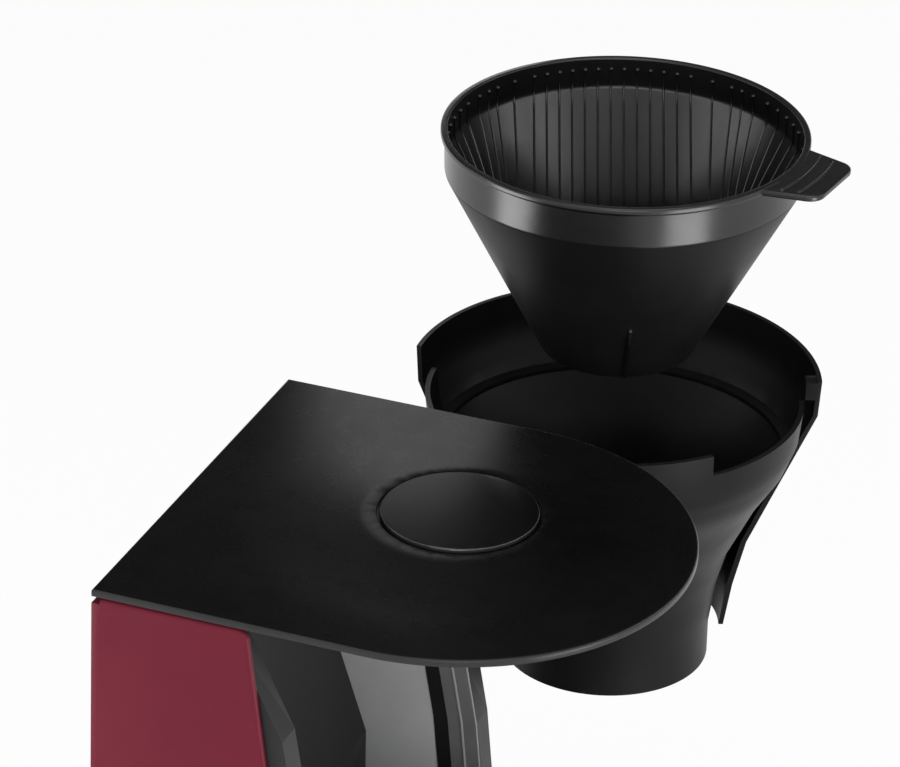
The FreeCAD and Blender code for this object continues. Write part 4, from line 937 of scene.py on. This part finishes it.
@dataclass
class Tower:
    """Tower with its coloured cover, tank and water path.

    Sizes are in millimetres. A strip row is a name, where the strip starts and ends behind the front
    edge, how far it stands out, and its finish.
    """

    bench: Bench
    sheen_from: float = 60.0
    sheen_lean: float = 0.9
    far_face: float = 80.0
    front_edge: tuple[Pair, ...] = ((-17.2, 230.0), (-14.85, 216.1), (-10.6, 193.1), (3.97, 48.0))
    strip_rise: float = 11.0
    strip_foot: float = 4.0
    strip_sink: float = 0.1
    # painted sheen on the border and band, and a painted highlight on the bead; the groove strip is
    # dark
    strips: tuple[tuple[str, float, float, float, Finish], ...] = (
        ("wing_border", 0.4, 6.2, 0.5, Finish.STRIP), ("wing_bead", 6.2, 7.0, 0.8, Finish.PAINTED_SHEEN),
        ("wing_band", 7.0, 13.0, 0.4, Finish.STRIP), ("wing_groove", 13.0, 19.5, 0.2, Finish.GROOVE),
    )
    marks: int = 9
    mark_first: float = 10.0
    mark_pitch: float = 12.0
    mark_across: float = -50.0
    mark_proud: float = 0.1
    mark_sizes: Sizes = (("Length", 0.4), ("Depth", 12.0), ("Height", 0.8))

    def build_housing(self) -> None:
        """Skin the housing, and paint a sheen in a paler grey on the far wing's faces that face the
        front.
        """
        piece = self.bench.skin("tower_housing", Finish.TOWER, edge=0.25)
        beyond = self.sheen_from * MM
        # painted sheen on the far wing's faces that face the front
        self.bench.second_finish(
            piece, Finish.PAINTED_SHEEN,
            lambda face: face.normal.y < -self.sheen_lean and face.center.y > beyond)

    def build_strips(self) -> None:
        """Lay the upright strips beside the far wing's front edge, with painted sheen and a painted
        highlight.
        """
        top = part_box("carrier_pin")[0].z / MM + self.strip_rise
        path = [(along, min(height, top)) for along, height in self.front_edge]
        path[-1] = (path[-1][0], path[-1][1] + self.strip_foot)
        root = self.far_face + self.strip_sink
        for name, start, end, thick, finish in self.strips:
            edge = [(along - start, height) for along, height in path]
            edge += [(along - end, height) for along, height in reversed(path)]
            face = [Vector((along, root, height)) * MM for along, height in edge]
            lift = Vector((0, -thick - self.strip_sink, 0)) * MM
            piece = link(name, slab(name, face, lift))
            self.bench.hand_over(piece, "tower_housing", finish)

    def build_marks(self) -> None:
        """Lay level marks along the tank's front wall."""
        low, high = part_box("water_tank")
        along, across = high.x + self.mark_proud * MM, self.mark_across * MM
        points = [
            [Vector((along, across, low.z + (self.mark_first + self.mark_pitch * step) * MM))]
            for step in range(self.marks)]
        tree = Repeats(self.bench, "tank_marks", "water_tank", Finish.BASE, self.mark_sizes)
        tree.build(points, tree.blocks())

    def build(self) -> None:
        """Build the whole tower."""
        self.build_housing()
        self.build_strips()
        self.build_marks()
        self.bench.skin("side_cover", Finish.RED, edge=0.35)
        self.bench.skin("water_tank", Finish.MILKY, edge=0.25)
        self.bench.skin("spout_arm", Finish.TOWER, edge=0.3)
        self.bench.dress(Finish.MILKY, "tank_valve", "riser_tube")
        self.bench.dress(Finish.RUBBER, "feed_hose")
        self.bench.dress(Finish.STEEL, "carrier_pin", "water_tube", "heating_element")


@dataclass
class Base:
    """Base with feet, warming plate, heater, switch, louvres and cord bush.

    Sizes are in millimetres. A skin row is a node, its finish and the width of its softened edges.
    A foot row is a share of the radius, a share of the height, a lift and a rounding.
    """

    bench: Bench
    skins: tuple[tuple[str, Finish, float], ...] = (
        ("base_housing", Finish.BASE, 0.3), ("base_plate", Finish.BASE, 0.3),
        ("hot_plate", Finish.PLATE, 0.2), ("switch_frame", Finish.HANDLE, 0.3),
        ("switch_rocker", Finish.ROCKER, 0.4), ("cord_gland", Finish.RUBBER, 0.4),
    )
    louvres: int = 13
    louvre_first: float = -70.0
    louvre_pitch: float = 6.5
    louvre_middle: float = 26.0
    louvre_sizes: Sizes = (("Length", 0.9), ("Depth", 2.6), ("Height", 26.0))
    screws: int = 4
    slot_arm: float = 0.55
    slot_reach: float = 2.1
    slot_depth: float = 0.4
    slot_proud: float = 0.1
    feet: int = 5
    foot_sides: int = 48
    foot_line: tuple[tuple[float, float, float, float], ...] = (
        (0.0, 0.0, 0.6, 0.0), (0.5, 0.0, 0.6, 0.4), (0.6, 0.0, 0.0, 0.4), (1.0, 0.0, 0.0, 0.8),
        (1.0, 0.45, 0.0, 0.4), (0.94, 0.6, 0.0, 0.4), (0.94, 1.0, 0.0, 0.0), (0.0, 1.0, 0.0, 0.0),
    )

    def build_louvres(self) -> None:
        """Set a row of upright louvres on the flat end."""
        along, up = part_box("base_housing")[0].x, self.louvre_middle * MM
        points = [
            [Vector((along, (self.louvre_first + step * self.louvre_pitch) * MM, up))]
            for step in range(self.louvres)]
        tree = Repeats(self.bench, "base_louvres", "base_housing", Finish.BASE, self.louvre_sizes)
        tree.build(points, tree.blocks())

    def build_screw_slots(self) -> None:
        """Mark the cross slots of the base screws."""
        arm, reach = self.slot_arm * MM, self.slot_reach * MM
        corners = [
            (arm, arm), (arm, reach), (-arm, reach), (-arm, arm), (-reach, arm), (-reach, -arm),
            (-arm, -arm), (-arm, -reach), (arm, -reach), (arm, -arm), (reach, -arm), (reach, arm)]
        flat = [Vector((along, across, 0)) for along, across in corners]
        cross = link("cross", slab("cross", flat, Vector((0, 0, self.slot_depth * MM))))
        sunk = Vector((0, 0, self.slot_proud * MM))
        points = [[under(f"base_screw_{number}") - sunk] for number in range(1, self.screws + 1)]
        tree = Repeats(self.bench, "screw_slots", "base_screw_1", Finish.RUBBER, ())
        tree.build(points, tree.copies(cross))
        bpy.data.objects.remove(cross)

    def build_feet(self) -> None:
        """Turn rubber feet with a waist, a sole ring and a dimple."""
        for number in range(1, self.feet + 1):
            node, name = f"foot_{number}", f"foot_{number}_pad"
            low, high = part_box(node)
            size = (high.x - low.x) / 2 / MM
            tall = (high.z - low.z) / MM
            outline = rounded([
                (size * across, tall * up + lift, turn) for across, up, lift, turn in self.foot_line])
            piece = link(name, turned(name, outline, under(node), self.foot_sides))
            self.bench.hand_over(piece, node, Finish.RUBBER, node)

    def build(self) -> None:
        """Build the whole base."""
        for node, finish, edge in self.skins:
            self.bench.skin(node, finish, edge)
        self.bench.dress(Finish.RUBBER, "plate_seal")
        screws = [f"base_screw_{number}" for number in range(1, self.screws + 1)]
        self.bench.dress(Finish.STEEL, "heater_clamp", "thermostat", "thermal_fuse", *screws)
        self.build_louvres()
        self.build_screw_slots()
        self.build_feet()


@dataclass
class Jug:
    """Glass jug with band, handle and lid.

    Sizes are in millimetres. A glass row is a radius, a height and a rounding, up the outside and down
    the inside. The fourth is the widest ring.
    """

    bench: Bench
    centre: Pair = (8.0, 0.0)
    glass: tuple[Triple, ...] = (
        (0.0, 0.0, 0.0), (52.0, 0.0, 4.0), (63.0, 9.0301, 13.0), (66.0, 46.7586, 180.0),
        (62.0, 84.7345, 42.0), (51.0, 105.2, 18.0), (51.0, 123.7, 0.9), (48.8, 123.7, 0.9),
        (48.8, 104.6, 18.0), (59.8, 84.7345, 42.0), (63.8, 46.7586, 180.0), (60.8, 9.0301, 13.0),
        (51.0, 2.2, 4.0), (0.0, 2.2, 0.0),
    )
    corner_steps: int = 8
    sides: int = 144
    marks: int = 6
    mark_first: float = 22.0
    mark_pitch: float = 9.0
    mark_range: float = 37.7285
    mark_fall: float = 3.2
    mark_proud: float = 0.15
    mark_sizes: Sizes = (("Length", 11.0), ("Depth", 0.6), ("Height", 0.9))
    skins: tuple[tuple[str, float], ...] = (("jug_band", 0.3), ("jug_handle", 1.6), ("jug_lid", 0.5))
    foot: Vector = field(init=False)

    def __post_init__(self) -> None:
        """Take the jug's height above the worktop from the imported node."""
        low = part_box("jug_glass")[0]
        self.foot = Vector((self.centre[0] * MM, self.centre[1] * MM, low.z))

    def build_glass(self) -> None:
        """Turn the glass in one smooth line."""
        outline = rounded(self.glass, self.corner_steps)
        piece = link("jug_vessel", turned("jug_vessel", outline, self.foot, self.sides))
        self.bench.hand_over(piece, "jug_glass", Finish.GLASS, "jug_glass", "jug_floor")

    def build_marks(self) -> None:
        """Lay plain level marks on the near side of the glass."""
        widest, middle, _ = self.glass[3]
        points = []
        for step in range(self.marks):
            height = self.mark_first + step * self.mark_pitch
            share = min(1.0, abs(height - middle) / self.mark_range)
            across = self.mark_fall * share - widest - self.mark_proud
            points.append([self.foot + Vector((0.0, across, height)) * MM])
        tree = Repeats(self.bench, "jug_marks", "jug_glass", Finish.MILKY, self.mark_sizes)
        tree.build(points, tree.blocks())

    def build(self) -> None:
        """Build the whole jug."""
        self.build_glass()
        self.build_marks()
        for node, edge in self.skins:
            self.bench.skin(node, Finish.HANDLE, edge)


@dataclass
class Studio:
    """Camera at the photograph's place, pale floor with a low cove, soft lamps, overcast surround.

    Sizes are in metres and turns in degrees. A lamp row is a name, a place, a size, a power in watts
    and the full angle it shines over.
    """

    lens: float = 192.03
    sensor: float = 36.0
    sight: float = 50.0
    place: Triple = (0.58663, -1.52729, 1.25077)
    right: Triple = (0.9298, 0.3672, 0.0223)
    up: Triple = (-0.1886, 0.4239, 0.8858)
    back: Triple = (0.31579, -0.82798, 0.46339)
    floor_reach: float = 6.0
    floor_drop: float = 2e-4
    floor_sides: int = 96
    floor_grey: float = 0.9
    floor_glow: float = 0.94
    cove_bend: float = 1.2
    cove_height: float = 1.3
    cove_steps: int = 12
    sky: tuple[Pair, ...] = ((0.0, 0.1), (0.55, 0.1), (0.85, 0.5), (1.0, 0.75))
    aim: Triple = (0.0, 0.07, 0.28)
    front_count: int = 6
    front_turns: Pair = (-165.0, 25.0)
    front_place: Pair = (1.9, 1.1)
    front_size: Pair = (1.2, 0.5)
    front_power: float = 5.0
    front_beam: float = 180.0
    lamps: tuple[tuple[str, Triple, float, float, float], ...] = (
        ("softbox_top", (0.3, -0.3, 2.1), 1.4, 11.0, 180.0),
        ("softbox_back", (-0.129, 0.307, 0.446), 0.1, 0.0065, 42.0),
        ("softbox_low", (0.7, -1.6, 0.45), 0.7, 5.0, 180.0),
        ("card_left", (-0.503, -0.248, 0.08), 0.3, 1.9, 180.0),
        ("card_right", (0.583, -0.172, 0.08), 0.3, 1.9, 180.0),
    )

    def build_camera(self) -> None:
        """Set the camera."""
        data = bpy.data.cameras.new("photo_camera")
        data.lens = self.lens
        data.sensor_width = self.sensor
        data.sensor_fit = "HORIZONTAL"
        data.clip_end = self.sight
        camera = link("photo_camera", data)
        turn = Matrix((self.right, self.up, self.back)).transposed().to_4x4()
        camera.matrix_world = Matrix.Translation(self.place) @ turn
        bpy.context.scene.camera = camera

    def floor_mesh(self) -> Mesh:
        """Round floor that rises into a low cove."""
        profile = [(0.0, 0.0), (self.floor_reach - self.cove_bend, 0.0)]
        for step in range(1, self.cove_steps + 1):
            turn = math.radians(90 * step / self.cove_steps)
            profile.append((
                self.floor_reach - self.cove_bend * (1 - math.sin(turn)),
                self.cove_bend * (1 - math.cos(turn))))
        profile.append((self.floor_reach, self.cove_height))
        foot = Vector((0.0, 0.0, -self.floor_drop))
        return turned("floor", profile, foot, self.floor_sides, closed=False)

    def floor_material(self) -> bpy.types.Material:
        """Paper that shows white, in mirrors and through glass too, and keeps a soft shadow."""
        material, shop = begin("floor_pale")
        seen, mirrored, through = (
            shop.node("ShaderNodeLightPath", {}, f"Is {kind} Ray")
            for kind in ("Camera", "Glossy", "Transmission"))
        grey = (self.floor_grey, self.floor_grey, self.floor_grey, 1.0)
        paper = shop.node("ShaderNodeBsdfDiffuse", {"Color": grey})
        glow = shop.node("ShaderNodeEmission", {"Color": WHITE, "Strength": 1.0})
        share = seen.most(mirrored).most(through) * self.floor_glow
        mixed = shop.node("ShaderNodeMixShader", {0: share, 1: paper, 2: glow})
        shop.end("ShaderNodeOutputMaterial", mixed)
        return material

    def build_floor(self) -> None:
        """Lay the floor."""
        mesh = self.floor_mesh()
        mesh.materials.append(self.floor_material())
        floor = link("floor", mesh)

    def hang(self, name: str, place: Triple, size: Pair, power: float, beam: float) -> None:
        """Hang one soft lamp that faces the machine.

        Args:
            name: lamp name.
            place: its place in metres.
            size: its width and height in metres.
            power: its power in watts.
            beam: the full angle it shines over, in degrees.
        """
        data = bpy.data.lights.new(name, "AREA")
        data.shape = "RECTANGLE"
        data.size, data.size_y = size
        data.energy = power
        data.spread = math.radians(beam)
        lamp = link(name, data)
        lamp.visible_camera = False
        facing = (Vector(self.aim) - Vector(place)).to_track_quat("-Z", "Y")
        lamp.matrix_world = Matrix.Translation(place) @ facing.to_matrix().to_4x4()

    def build_lamps(self) -> None:
        """Hang an arc of softboxes in front, and the single lamps and cards."""
        first, last = self.front_turns
        reach, height = self.front_place
        for step in range(self.front_count):
            turn = math.radians(first + (last - first) * step / (self.front_count - 1))
            place = (reach * math.cos(turn), reach * math.sin(turn), height)
            self.hang(
                f"softbox_front_{step + 1}", place, self.front_size, self.front_power, self.front_beam)
        for name, place, size, power, beam in self.lamps:
            self.hang(name, place, (size, size), power, beam)

    def build_surround(self) -> None:
        """Make an overcast surround, brighter overhead than at the horizon."""
        world = bpy.data.worlds.new("surround")
        bpy.context.scene.world = world
        world.use_nodes = True
        shop = Shop(world.node_tree)
        direction = shop.node("ShaderNodeTexCoord", {}, "Generated")
        height = shop.node("ShaderNodeSeparateXYZ", {0: direction}, "Z")
        glow = shop.node(
            "ShaderNodeBackground", {"Color": WHITE, "Strength": shop.ramp(height, self.sky)})
        shop.end("ShaderNodeOutputWorld", glow)

    def build(self) -> None:
        """Build the whole studio."""
        self.build_camera()
        self.build_floor()
        self.build_lamps()
        self.build_surround()
        bpy.context.scene.view_settings.view_transform = "Standard"


def main() -> None:
    """Load the frame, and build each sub-assembly and the studio."""
    logging.basicConfig(level=logging.INFO, format="%(name)s: %(message)s")
    bench = Bench(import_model())
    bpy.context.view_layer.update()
    Studio().build()
    for assembly in (Tower, Lid, Carrier, Basket, Base, Jug):
        assembly(bench).build()
    bpy.context.view_layer.update()


if __name__ == "__main__":
    main()
